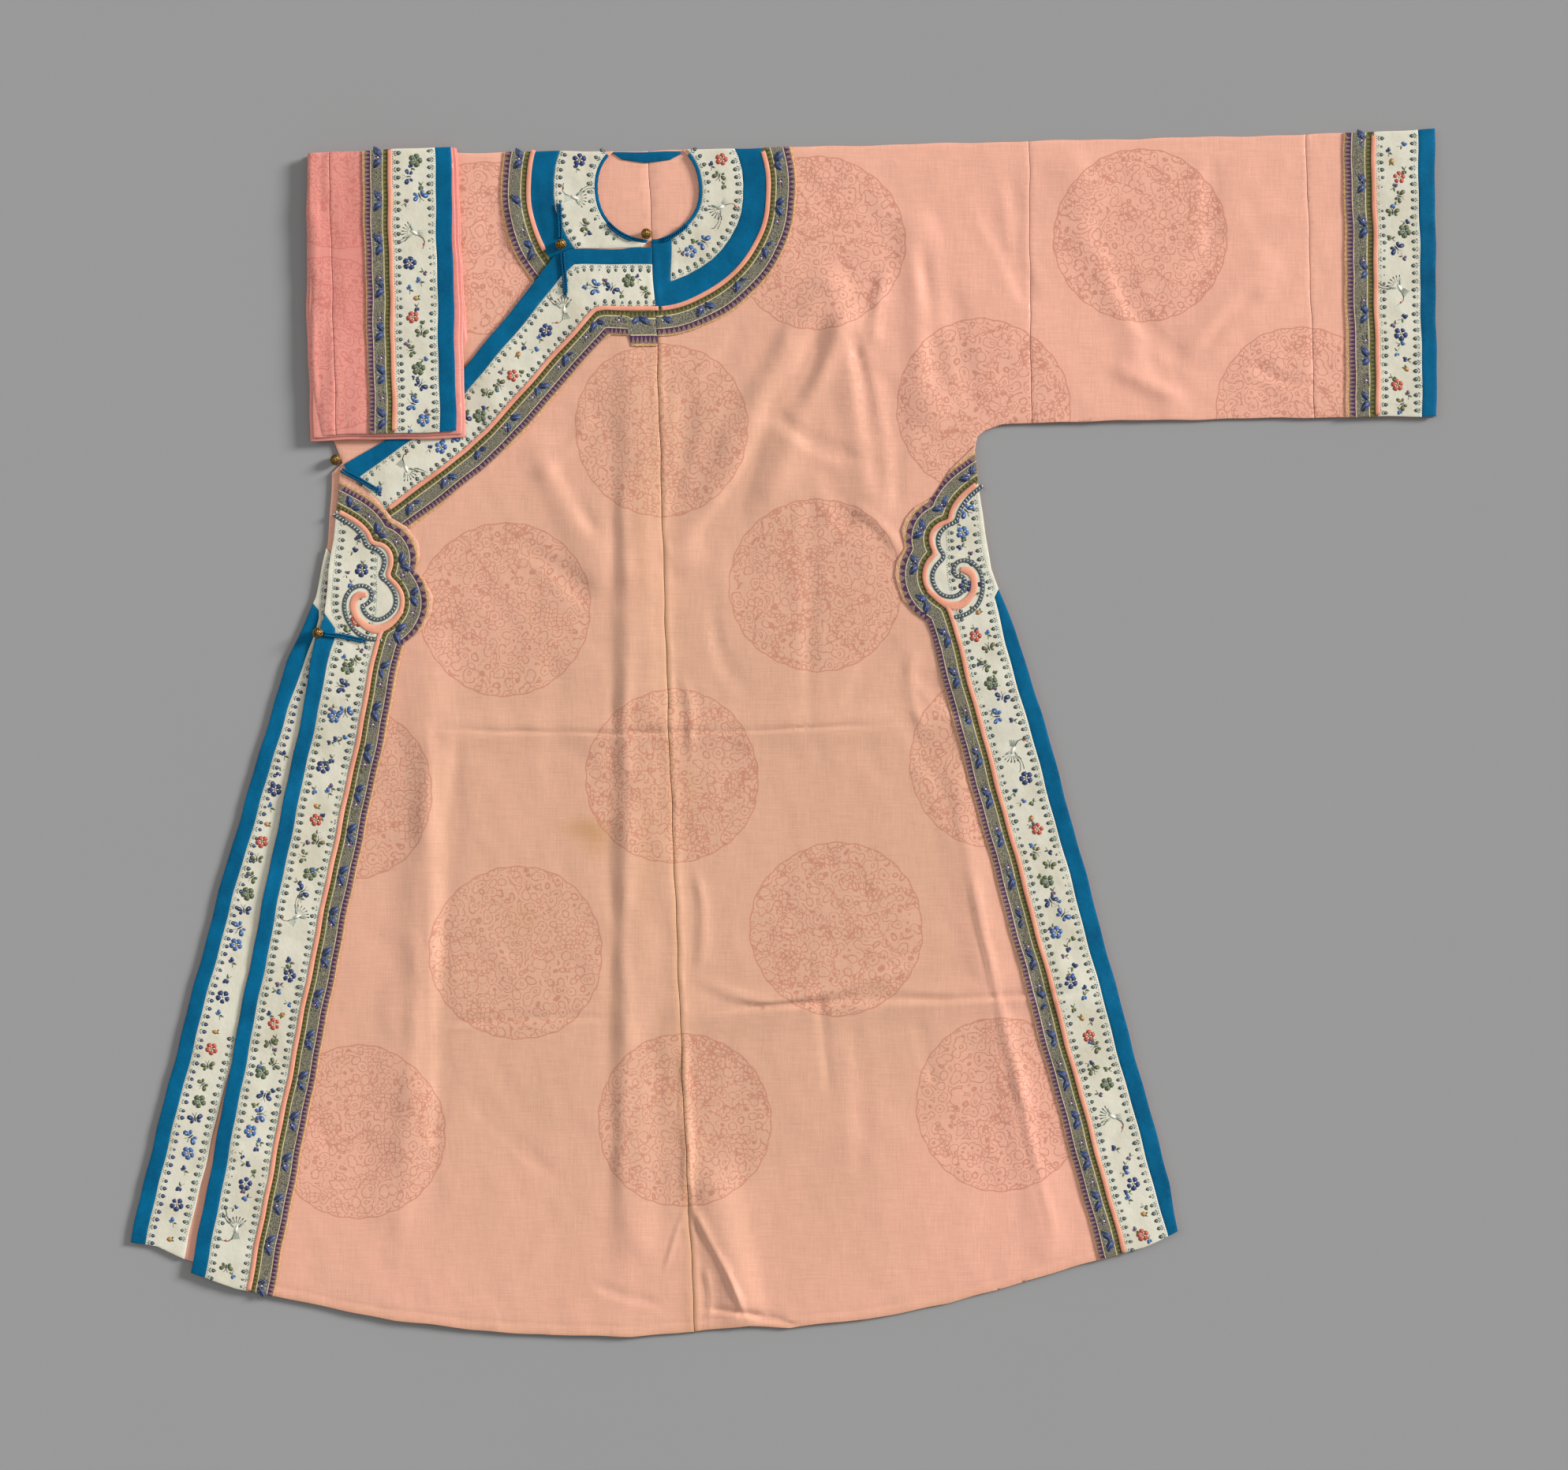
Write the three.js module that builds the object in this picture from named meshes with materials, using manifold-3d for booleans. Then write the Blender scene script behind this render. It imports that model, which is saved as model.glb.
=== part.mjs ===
// A woman's silk robe lying flat and face up, one sleeve stretched out and the other folded in three over
// the shoulder. Millimetres. X runs to the viewer's right, Y towards the shoulders, and Z up from the
// surface that the robe lies on. Each cut-and-sewn piece is a solid of its own.
import * as THREE from 'three';
import { mergeVertices } from 'three/addons/utils/BufferGeometryUtils.js';
import Module from 'manifold-3d';

const wasm = await Module();
wasm.setup();

// Driving dimensions of the cloth and its layers
const CLOTH = 1.2;
const TRIM = 1.0;
const TAPE = 0.7;
const GAP = 0.3;
const GRID_STEP = 18;
const FLATNESS = 0.005;
const OPEN_PAST = 2;
const EDGE_PAST = 4;
const FAR = 20;
const POINT = 0.01;

// Heights of the undersides, from the surface up
const FRONT_LEVEL = CLOTH + GAP;
const OVERLAP_LEVEL = 2 * (CLOTH + GAP);
const TRIM_LIFT = CLOTH + GAP;
const TAPE_LIFT = TRIM_LIFT + TRIM + GAP;
const CORD_LIFT = TRIM_LIFT + TRIM + GAP;

// The round collar: circles about the middle of the neck hole
const NECK_X = -125;
const NECK_Y = 504;
const NECK_RADIUS = 47.1;
const BINDING_OUT = 50.4;
const COLLAR_CREAM_OUT = 88.3;
const COLLAR_BLUE_OUT = 111.5;
const COLLAR_RIBBON_OUT = 137.6;
const LEFT_RING = { from: 262, to: 390 };
const LEFT_CREAM_RING = { from: 260, to: 405 };
const LEFT_OUTER_RING = { from: 262, to: 400 };
const RIGHT_RING = { from: 140, to: 272 };
const CENTRE_STRIP = [[-130, 462], [-130, 358], [-104, 358], [-104, 462]];
const BACK_NECK_FACING = [[-158, 537], [-149, 531], [-127, 528], [-105, 530], [-94, 536], [-96, 538],
  [-158, 538]];

// Widths of the side trims, measured across from the edge of the cloth. The blue ones start with a slanting
// end: its outer corner, just off the cloth, and the first points of the inner side.
const OVERLAP_SIDE = {
  blue: 13.7, tape: 56.5, ribbon: 81, blueTop: [-428, 116.5], blueStart: [[-415, 97], [-415, 89], [-419, 76]],
};
const LEFT_SIDE = {
  blue: 15.3, tape: 59.5, ribbon: 84.7, blueTop: [203, 140], blueStart: [[195, 126], [205, 82]],
};
const UNDERLAP_SIDE = {
  blue: 13.9, tape: 53, blueTop: [-441, 126.5],
  blueStart: [[-430, 114], [-430, 107], [-434, 93], [-439, 78], [-444, 62]],
};
const TAPE_WIDTH = 4.4;
const GIMP_WIDTH = 5.6;
const HEAD_BOTTOM = 80;

const BUTTON_RADIUS = 5;
const CORD_WIDTH = 3.8;
const CORD_HEIGHT = 1.8;
const BINDING_CORD_HEIGHT = 1.5;

const COLOURS = {
  silk: 0xe8b09a,
  blue: 0x0a6a90,
  cream: 0xd9d6c2,
  ribbon: 0x8c8a78,
  piping: 0xe9a48c,
  gimp: 0x6f7488,
  gold: 0xa88a45,
};

// Folds of the fronts: from, to, height and reach to either side
const FOLDS = [
  { fromX: -135, fromY: 330, toX: -135, toY: -470, height: 2.2, reach: 27 },
  { fromX: -327, fromY: 73, toX: -364, toY: -440, height: 2.0, reach: 30 },
  { fromX: -330, fromY: 2, toX: 158, toY: 8, height: 1.6, reach: 26 },
  { fromX: -90, fromY: -261, toX: 285, toY: -238, height: 1.8, reach: 27 },
  { fromX: 41, fromY: 410, toX: -14, toY: 300, height: 3.6, reach: 28 },
  { fromX: -14, fromY: 300, toX: -92, toY: 165, height: 3.0, reach: 28 },
  { fromX: 59, fromY: 380, toX: 85, toY: 212, height: 2.4, reach: 26 },
  { fromX: 122, fromY: 467, toX: 136, toY: 299, height: 2.6, reach: 26 },
  { fromX: 268, fromY: 518, toX: 355, toY: 310, height: 1.8, reach: 30 },
  { fromX: 443, fromY: 430, toX: 377, toY: 343, height: 1.8, reach: 30 },
  { fromX: -222, fromY: 260, toX: -170, toY: 150, height: 2.2, reach: 27 },
  { fromX: 154, fromY: -51, toX: 245, toY: -470, height: 1.6, reach: 26 },
  { fromX: -64, fromY: -420, toX: -40, toY: -530, height: 4.0, reach: 30 },
];

// The centre seam from neck to hem, shared by the left half, the back and the overlap
const CENTRE_SEAM = [[-122, 450], [-117, 358], [-107, 22], [-92, -356], [-82, -554]];

const LEFT_HALF = [
  [227, 548], [229, 287], [202, 285], [187, 280], [180, 275], [177, 262], [182, 212], [192, 153], [214, 95],
  [238, 22], [278, -124], [317, -270], [357, -416], [364, -461], [333, -475], [224, -507], [151, -528],
  [78, -542], [5, -550], [-32, -548], ...[...CENTRE_SEAM].reverse(), [-125, 539],
];
const LEFT_EDGE = [[177, 262], [182, 212], [192, 153], [214, 95], [238, 22], [278, -124], [317, -270],
  [357, -416], [382, -508]];

const UNDERLAP_EDGE = [[-418, 241], [-422, 175], [-433, 126], [-459, 66], [-473, 22], [-516, -124],
  [-555, -270], [-592, -416], [-604, -471]];
const UNDERLAP_PAST = [-624, -560];
const UNDERLAP_INNER = [{ y: 457, x: -125 }, { y: 437, x: -141 }, { y: 372, x: -157 }, { y: -550, x: -157 }];
const UNDERLAP = [
  [-125, 539], [-125, 457], [-141, 437], [-157, 372], [-157, -550], [-214, -548], [-287, -542],
  [-360, -533], [-433, -519], [-506, -502], [-554, -487], [-579, -475], ...[...UNDERLAP_EDGE].reverse(),
  [-408, 250], [-416, 270], [-436, 275], [-438, 536],
];

// The overlap comes down onto the back between these distances past the underlap's inner edge
const STEP_START = 13;
const STEP_END = 42;

const RIGHT_BACK = [
  [-125, 539], ...CENTRE_SEAM, [-157, -550], ...UNDERLAP.slice(5),
];

const LAPEL_ROWS = [
  { edge: [-116, 450], blue: [-116, 434], tape: [-116, 393], ribbon: [-116, 358] },
  { edge: [-141, 449], blue: [-141, 434], tape: [-141, 393], ribbon: [-141, 358] },
  { edge: [-150, 448], blue: [-150, 434], tape: [-144, 393], ribbon: [-144, 368] },
  { edge: [-198, 447], blue: [-193, 433], tape: [-172, 393], ribbon: [-159, 368] },
  { edge: [-212, 441], blue: [-205, 423], tape: [-180, 386], ribbon: [-170, 361] },
  { edge: [-287, 347], blue: [-275, 337], tape: [-244, 314], ribbon: [-226, 294] },
  { edge: [-324, 304], blue: [-314, 292], tape: [-284, 269], ribbon: [-248, 270] },
  { edge: [-360, 276], blue: [-352, 266], tape: [-322, 240], ribbon: [-281, 241] },
  { edge: [-406, 248], blue: [-398, 232], tape: [-372, 203], ribbon: [-352, 184] },
];
const OVERLAP_EDGE = [[-410, 245], [-416, 182], [-420, 153], [-425, 106], [-433, 88], [-444, 22],
  [-475, -124], [-504, -270], [-532, -416], [-548, -499], [-556, -540]];
const OVERLAP = [
  ...LAPEL_ROWS.slice(3).map((row) => row.edge), ...OVERLAP_EDGE.slice(0, 10), [-506, -513], [-433, -529],
  [-360, -543], [-287, -552], [-214, -557], [-141, -558],
  ...[...CENTRE_SEAM].reverse(),
];

// Cloud-shaped heads of the side trims: the ribbon's outer edge, the piping and the gimp inside it
const LEFT_HEAD = {
  outer: [[183, 272], [155, 245], [138, 220], [132, 216], [121, 209], [113, 199], [109, 188], [112, 171],
    [105, 159], [103, 147], [105, 136], [109, 124], [121, 111], [132, 103], [137, 90]],
  piping: [[186, 236], [168, 223], [158, 213], [154, 204], [154, 197], [144, 194], [137, 186], [136, 176],
    [141, 166], [133, 158], [130, 145], [133, 132], [143, 123], [154, 117]],
  curl: [[154, 117], [166, 120], [176, 131], [177, 142], [173, 150], [165, 152]],
  gimp: [[184, 229], [170, 218], [162, 207], [160, 196], [151, 193], [143, 184], [143, 172], [150, 164],
    [141, 155], [137, 144], [141, 132], [149, 126], [160, 127], [168, 134], [169, 141]],
};
const OVERLAP_HEAD = {
  outer: [[-416, 249], [-395, 233], [-376, 216], [-362, 199], [-348, 191], [-338, 177], [-336, 163],
    [-341, 150], [-332, 143], [-324, 128], [-325, 113], [-333, 97], [-351, 83]],
  piping: [[-418, 209], [-395, 196], [-384, 185], [-381, 175], [-370, 174], [-363, 166], [-362, 155],
    [-366, 145], [-357, 137], [-352, 127], [-353, 113], [-362, 101], [-375, 95]],
  curl: [[-375, 95], [-385, 98], [-395, 107], [-399, 119], [-395, 128], [-387, 128]],
  gimp: [[-416, 203], [-397, 191], [-388, 181], [-386, 172], [-376, 170], [-368, 162], [-369, 152],
    [-373, 145], [-364, 138], [-358, 127], [-359, 115], [-368, 106], [-378, 104], [-387, 111], [-390, 119]],
};

// The stretched sleeve: its seams run down from the shoulder fold
const SLEEVE_MIDDLE = [[227, 548], [483, 554], [491, 292], [370, 290], [260, 288], [229, 287]];
const SLEEVE_END = [[483, 554], [602, 559], [604, 293], [491, 292]];

// Cuff trims as left and right edges at the top and the bottom of the sleeve, cut off at the sleeve's edge
const STRETCHED_SPAN = { top: 570, bottom: 280 };
const STRETCHED_CUFF = [
  { piece: 'ribbon', topFrom: 517, topTo: 545, bottomFrom: 520, bottomTo: 550 },
  { piece: 'cream', topFrom: 545, topTo: 586, bottomFrom: 550, bottomTo: 591 },
  { piece: 'blue', topFrom: 586, topTo: 604, bottomFrom: 591, bottomTo: 606 },
];
const FOLDED_SPAN = { top: 550, bottom: 265 };
const FOLDED_CUFF = [
  { piece: 'ribbon', topFrom: -390, topTo: -364, bottomFrom: -382, bottomTo: -359 },
  { piece: 'cream', topFrom: -364, topTo: -322, bottomFrom: -359, bottomTo: -317 },
  { piece: 'blue', topFrom: -322, topTo: -305, bottomFrom: -317, bottomTo: -301 },
];

// The folded sleeve: its hidden layers from the bottom up, then the layer that shows. The layers' right edges
// lean in towards the shoulder.
const HIDDEN_LAYERS = [
  { left: -440, right: -291, bottom: 271, floor: 3.0 },
  { left: -437, right: -294, bottom: 274, floor: 4.8 },
  { left: -441, right: -292, bottom: 270, floor: 6.6 },
  { left: -438, right: -295, bottom: 273, floor: 8.3 },
];
const HIDDEN_THICKNESS = 1.9;
const HIDDEN_ROUND = 0.8;
const HIDDEN_TOP = { left: 536, right: 541 };
const HIDDEN_WIDEST_Y = 400;
const HIDDEN_SLACK = 2;
const HIDDEN_LEAN = 9;
const HIDDEN_BOTTOM_RISE = 3;
const FOLDED_LEVEL = 10.5;
const FOLDED_MIDDLE = [[-440, 536], [-420, 537], [-413, 275], [-431, 274], [-438, 325], [-441, 450]];
const FOLDED_END = [[-420, 537], [-307, 541], [-302, 279], [-413, 275]];

const BUTTONS = [
  { name: 'button_neck', x: -127, y: 462, z: 7.0 },
  { name: 'button_collar_corner', x: -205.5, y: 451.5, z: 9.3 },
  { name: 'button_underarm', x: -413.8, y: 253, z: 5.3 },
  { name: 'button_slit', x: -430.5, y: 93, z: 10.8 },
];

// Cords that are sewn down: straight ones by their ends, and two along the neck by their angles
const STRAIGHT_CORDS = [
  { name: 'cord_collar_corner_upper', on: 'underlap', from: [-208, 489], to: [-206.5, 459] },
  { name: 'cord_collar_corner_lower', on: 'overlap', from: [-203, 443], to: [-202, 404] },
  { name: 'cord_underarm', on: 'overlap', from: [-408, 243], to: [-375, 224] },
  { name: 'cord_slit', on: 'overlap', from: [-423, 92], to: [-388, 86] },
];
const NECK_CORDS = [
  { name: 'cord_neck_right', on: 'underlap', from: 221, to: 252 },
  { name: 'cord_neck_left', on: 'left', from: 286, to: 316 },
];

// Height of the folds at a place: rounded ridges that end within their reach
function foldHeight(x, y) {
  let height = 0;
  for (const fold of FOLDS) {
    const alongX = fold.toX - fold.fromX;
    const alongY = fold.toY - fold.fromY;
    const share = ((x - fold.fromX) * alongX + (y - fold.fromY) * alongY) / (alongX ** 2 + alongY ** 2);
    const t = Math.min(1, Math.max(0, share));
    const away = Math.hypot(x - fold.fromX - t * alongX, y - fold.fromY - t * alongY) / fold.reach;
    if (away < 1) {
      height = Math.max(height, fold.height * 0.5 * (1 + Math.cos(Math.PI * away)));
    }
  }
  return height;
}

// X of the underlap's inner edge at a height on the robe
function underlapInnerX(y) {
  const rows = UNDERLAP_INNER;
  for (let i = 1; i < rows.length; i += 1) {
    if (y >= rows[i].y) {
      const t = Math.min(1, (rows[i - 1].y - y) / (rows[i - 1].y - rows[i].y));
      return rows[i - 1].x + Math.max(0, t) * (rows[i].x - rows[i - 1].x);
    }
  }
  return rows[rows.length - 1].x;
}

function leftFront(x, y) {
  return FRONT_LEVEL + foldHeight(x, y);
}

function underlapFront() {
  return FRONT_LEVEL;
}

// The overlap lies on the underlap and comes down to the back past the underlap's inner edge
function overlapFront(x, y) {
  const past = x - underlapInnerX(y);
  const share = Math.min(1, Math.max(0, (STEP_END - past) / (STEP_END - STEP_START)));
  return FRONT_LEVEL + share * (OVERLAP_LEVEL - FRONT_LEVEL) + foldHeight(x, y);
}

function foldedTop() {
  return FOLDED_LEVEL;
}

function solidOf(geometry) {
  const bare = geometry.clone();
  bare.deleteAttribute('normal');
  bare.deleteAttribute('uv');
  const merged = mergeVertices(bare, 1e-4);
  return new wasm.Manifold(new wasm.Mesh({
    numProp: 3,
    vertProperties: new Float32Array(merged.attributes.position.array),
    triVerts: new Uint32Array(merged.index.array),
  }));
}

function isCounterclockwise(points) {
  return THREE.ShapeUtils.area(points.map(([x, y]) => new THREE.Vector2(x, y))) > 0;
}

// Moves every side of an outline inwards, so that neighbours stay a seam apart
function inset(points, distance) {
  const ring = isCounterclockwise(points) ? points : [...points].reverse();
  return ring.map((point, i) => {
    const before = ring[(i + ring.length - 1) % ring.length];
    const after = ring[(i + 1) % ring.length];
    const inA = inwardNormal(before, point);
    const inB = inwardNormal(point, after);
    const spread = Math.max(0.3, 1 + inA[0] * inB[0] + inA[1] * inB[1]);
    const moveX = (inA[0] + inB[0]) * distance / spread;
    const moveY = (inA[1] + inB[1]) * distance / spread;
    return [point[0] + moveX, point[1] + moveY];
  });
}

function inwardNormal(from, to) {
  const length = Math.hypot(to[0] - from[0], to[1] - from[1]);
  return [(from[1] - to[1]) / length, (to[0] - from[0]) / length];
}

function prism(points, bottom, top) {
  const shape = new THREE.Shape(points.map(([x, y]) => new THREE.Vector2(x, y)));
  const geometry = new THREE.ExtrudeGeometry(shape, { depth: top - bottom, bevelEnabled: false });
  geometry.translate(0, 0, bottom);
  return solidOf(geometry);
}

// A closed sheet between two height functions over the grid cells that hold the outline
function sheet(points, underside, topside) {
  const first = [0, 1].map((k) => Math.floor(Math.min(...points.map((p) => p[k])) / GRID_STEP - 0.01));
  const last = [0, 1].map((k) => Math.ceil(Math.max(...points.map((p) => p[k])) / GRID_STEP + 0.01));
  const columns = last[0] - first[0] + 1;
  const rows = last[1] - first[1] + 1;
  const positions = [];
  for (const height of [underside, topside]) {
    for (let j = 0; j < rows; j += 1) {
      for (let i = 0; i < columns; i += 1) {
        const x = (first[0] + i) * GRID_STEP;
        const y = (first[1] + j) * GRID_STEP;
        positions.push(x, y, height(x, y));
      }
    }
  }
  const lid = columns * rows;
  const triangles = [];
  for (let j = 0; j + 1 < rows; j += 1) {
    for (let i = 0; i + 1 < columns; i += 1) {
      const a = j * columns + i;
      const b = a + 1;
      const c = a + columns + 1;
      const d = a + columns;
      triangles.push(a, c, b, a, d, c, a + lid, b + lid, c + lid, a + lid, c + lid, d + lid);
    }
  }
  const rim = [];
  for (let i = 0; i < columns; i += 1) rim.push(i);
  for (let j = 1; j < rows; j += 1) rim.push(j * columns + columns - 1);
  for (let i = columns - 2; i >= 0; i -= 1) rim.push((rows - 1) * columns + i);
  for (let j = rows - 2; j > 0; j -= 1) rim.push(j * columns);
  rim.forEach((a, k) => {
    const b = rim[(k + 1) % rim.length];
    triangles.push(a, b, b + lid, a, b + lid, a + lid);
  });
  const geometry = new THREE.BufferGeometry();
  geometry.setAttribute('position', new THREE.Float32BufferAttribute(positions, 3));
  geometry.setIndex(triangles);
  return solidOf(geometry);
}

// A layer of cloth over a surface, cut to its outline
function layer(points, surface, lift, thickness) {
  const outline = inset(points, GAP / 2);
  const under = (x, y) => surface(x, y) + lift;
  const top = (x, y) => surface(x, y) + lift + thickness;
  return sheet(outline, under, top).intersect(prism(outline, -FAR, 2 * FAR));
}

// Front and back in one: everything from the surface up to the front's top, less the gap between them
function doubled(points, gapPoints, surface) {
  const outline = inset(points, GAP / 2);
  const whole = sheet(outline, () => 0, (x, y) => surface(x, y) + CLOTH)
    .intersect(prism(outline, -FAR, 2 * FAR));
  const between = sheet(gapPoints, () => CLOTH, surface).intersect(prism(gapPoints, -FAR, 2 * FAR));
  return whole.subtract(between);
}

// The gap inside a panel that is folded over the shoulder: closed at the shoulder and open everywhere else
function openBelow(points) {
  return inset(points, -OPEN_PAST).map(([x, y]) => (y > NECK_Y ? [x, y - OPEN_PAST - CLOTH] : [x, y]));
}

// A band of even width along a path
function strip(path, width) {
  const half = width / 2;
  const sides = [[], []];
  path.forEach((point, i) => {
    const before = path[Math.max(0, i - 1)];
    const after = path[Math.min(path.length - 1, i + 1)];
    const normal = inwardNormal(before, after);
    sides[0].push([point[0] + normal[0] * half, point[1] + normal[1] * half]);
    sides[1].push([point[0] - normal[0] * half, point[1] - normal[1] * half]);
  });
  return [...sides[0], ...sides[1].reverse()];
}

// A trim on a panel: a band a little above the panel's points, cut off at the panel's edge
function trim(panel, points, lift, thickness) {
  const onPanel = prism(inset(panel.outline, GAP / 2), -FAR, 2 * FAR);
  return layer(points, panel.surface, lift, thickness).intersect(onPanel);
}

function arc(radius, fromDegrees, toDegrees, steps) {
  const points = [];
  for (let i = 0; i <= steps; i += 1) {
    const angle = THREE.MathUtils.degToRad(fromDegrees + (toDegrees - fromDegrees) * i / steps);
    points.push([NECK_X + radius * Math.cos(angle), NECK_Y + radius * Math.sin(angle)]);
  }
  return points;
}

function ringSector(inner, outer, fromDegrees, toDegrees) {
  const steps = Math.ceil(Math.abs(toDegrees - fromDegrees) / 9);
  return [...arc(outer, fromDegrees, toDegrees, steps), ...arc(inner, toDegrees, fromDegrees, steps)];
}

// A whole disc about the middle of the neck hole
function disc(radius) {
  return ringSector(POINT, radius, 180 + POINT, 540 - POINT);
}

const robe = new THREE.Group();

function addPiece(name, solid, colour) {
  const mesh = solid.asOriginal().simplify(FLATNESS).getMesh();
  const geometry = new THREE.BufferGeometry();
  geometry.setAttribute('position', new THREE.BufferAttribute(new Float32Array(mesh.vertProperties), 3));
  geometry.setIndex(new THREE.BufferAttribute(new Uint32Array(mesh.triVerts), 1));
  geometry.computeVertexNormals();
  const isGold = colour === COLOURS.gold;
  const material = new THREE.MeshStandardMaterial({
    color: colour,
    roughness: isGold ? 0.35 : 0.55,
    metalness: isGold ? 1 : 0,
  });
  const piece = new THREE.Mesh(geometry, material);
  piece.name = name;
  robe.add(piece);
}

const neckHole = prism(disc(NECK_RADIUS), CLOTH, 2 * FAR);

function makePanels() {
  addPiece('left_half', doubled(LEFT_HALF, openBelow(LEFT_HALF), leftFront).subtract(neckHole), COLOURS.silk);
  const back = prism(inset(RIGHT_BACK, GAP / 2), 0, CLOTH);
  const right = doubled(UNDERLAP, openBelow(UNDERLAP), underlapFront).subtract(neckHole).add(back);
  addPiece('right_half_with_underlap', right, COLOURS.silk);

  addPiece('overlap', layer(OVERLAP, overlapFront, 0, CLOTH), COLOURS.silk);
}

function makeStretchedSleeve() {
  const middleGap = [[220, 548 - CLOTH], [490, 554 - CLOTH], [498, 292 + CLOTH], [370, 290 + CLOTH],
    [260, 288 + CLOTH], [220, 287 + CLOTH]];
  addPiece('left_sleeve_middle', doubled(SLEEVE_MIDDLE, middleGap, leftFront), COLOURS.silk);
  const endGap = [[476, 554 - CLOTH], [610, 559 - CLOTH], [610, 293 + CLOTH], [476, 292 + CLOTH]];
  addPiece('left_sleeve_end', doubled(SLEEVE_END, endGap, leftFront), COLOURS.silk);
}

// The hidden layers: slabs with rounded edges, each sunk a little into the one below, hollowed over the lapel
function makeFoldedSleeve() {
  let stack = null;
  for (const { left, right, bottom, floor } of HIDDEN_LAYERS) {
    const points = [[left + 2 * HIDDEN_SLACK, bottom], [right - HIDDEN_SLACK, bottom + HIDDEN_BOTTOM_RISE],
      [right - HIDDEN_LEAN / 2, HIDDEN_WIDEST_Y], [right - HIDDEN_SLACK - HIDDEN_LEAN, HIDDEN_TOP.right],
      [left + HIDDEN_SLACK, HIDDEN_TOP.left], [left, HIDDEN_WIDEST_Y]];
    const shape = new THREE.Shape(inset(points, HIDDEN_ROUND).map(([x, y]) => new THREE.Vector2(x, y)));
    const slab = new THREE.ExtrudeGeometry(shape, {
      depth: HIDDEN_THICKNESS - 2 * HIDDEN_ROUND,
      bevelEnabled: true,
      bevelThickness: HIDDEN_ROUND,
      bevelSize: HIDDEN_ROUND,
      bevelSegments: 2,
    });
    slab.translate(0, 0, floor + HIDDEN_ROUND);
    stack = stack ? stack.add(solidOf(slab)) : solidOf(slab);
  }
  const lapelTop = OVERLAP_LEVEL + TAPE_LIFT + TAPE + GAP;
  const overLapel = prism(inset(OVERLAP, -1), 0, lapelTop);
  addPiece('right_sleeve_hidden_layers', stack.subtract(overLapel), COLOURS.silk);
  addPiece('right_sleeve_middle', layer(FOLDED_MIDDLE, foldedTop, 0, CLOTH), COLOURS.silk);
  addPiece('right_sleeve_end', layer(FOLDED_END, foldedTop, 0, CLOTH), COLOURS.silk);
}

function makeCuff(side, panel, rows, span) {
  for (const row of rows) {
    const upper = [[row.topFrom, span.top], [row.topTo, span.top]];
    const lower = [[row.bottomTo, span.bottom], [row.bottomFrom, span.bottom]];
    const band = trim(panel, [...upper, ...lower], TRIM_LIFT, TRIM);
    addPiece(`${side}_cuff_${row.piece}`, band, COLOURS[row.piece]);
  }
  const seam = rows[1];
  const path = [[seam.bottomFrom, span.bottom], [seam.topFrom, span.top]];
  addPiece(`${side}_cuff_piping`, trim(panel, strip(path, TAPE_WIDTH), TAPE_LIFT, TAPE), COLOURS.piping);
}

const leftPanel = { outline: LEFT_HALF, surface: leftFront };
const underlapPanel = { outline: UNDERLAP, surface: underlapFront };
const overlapPanel = { outline: OVERLAP, surface: overlapFront };
const panels = { left: leftPanel, underlap: underlapPanel, overlap: overlapPanel };

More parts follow.
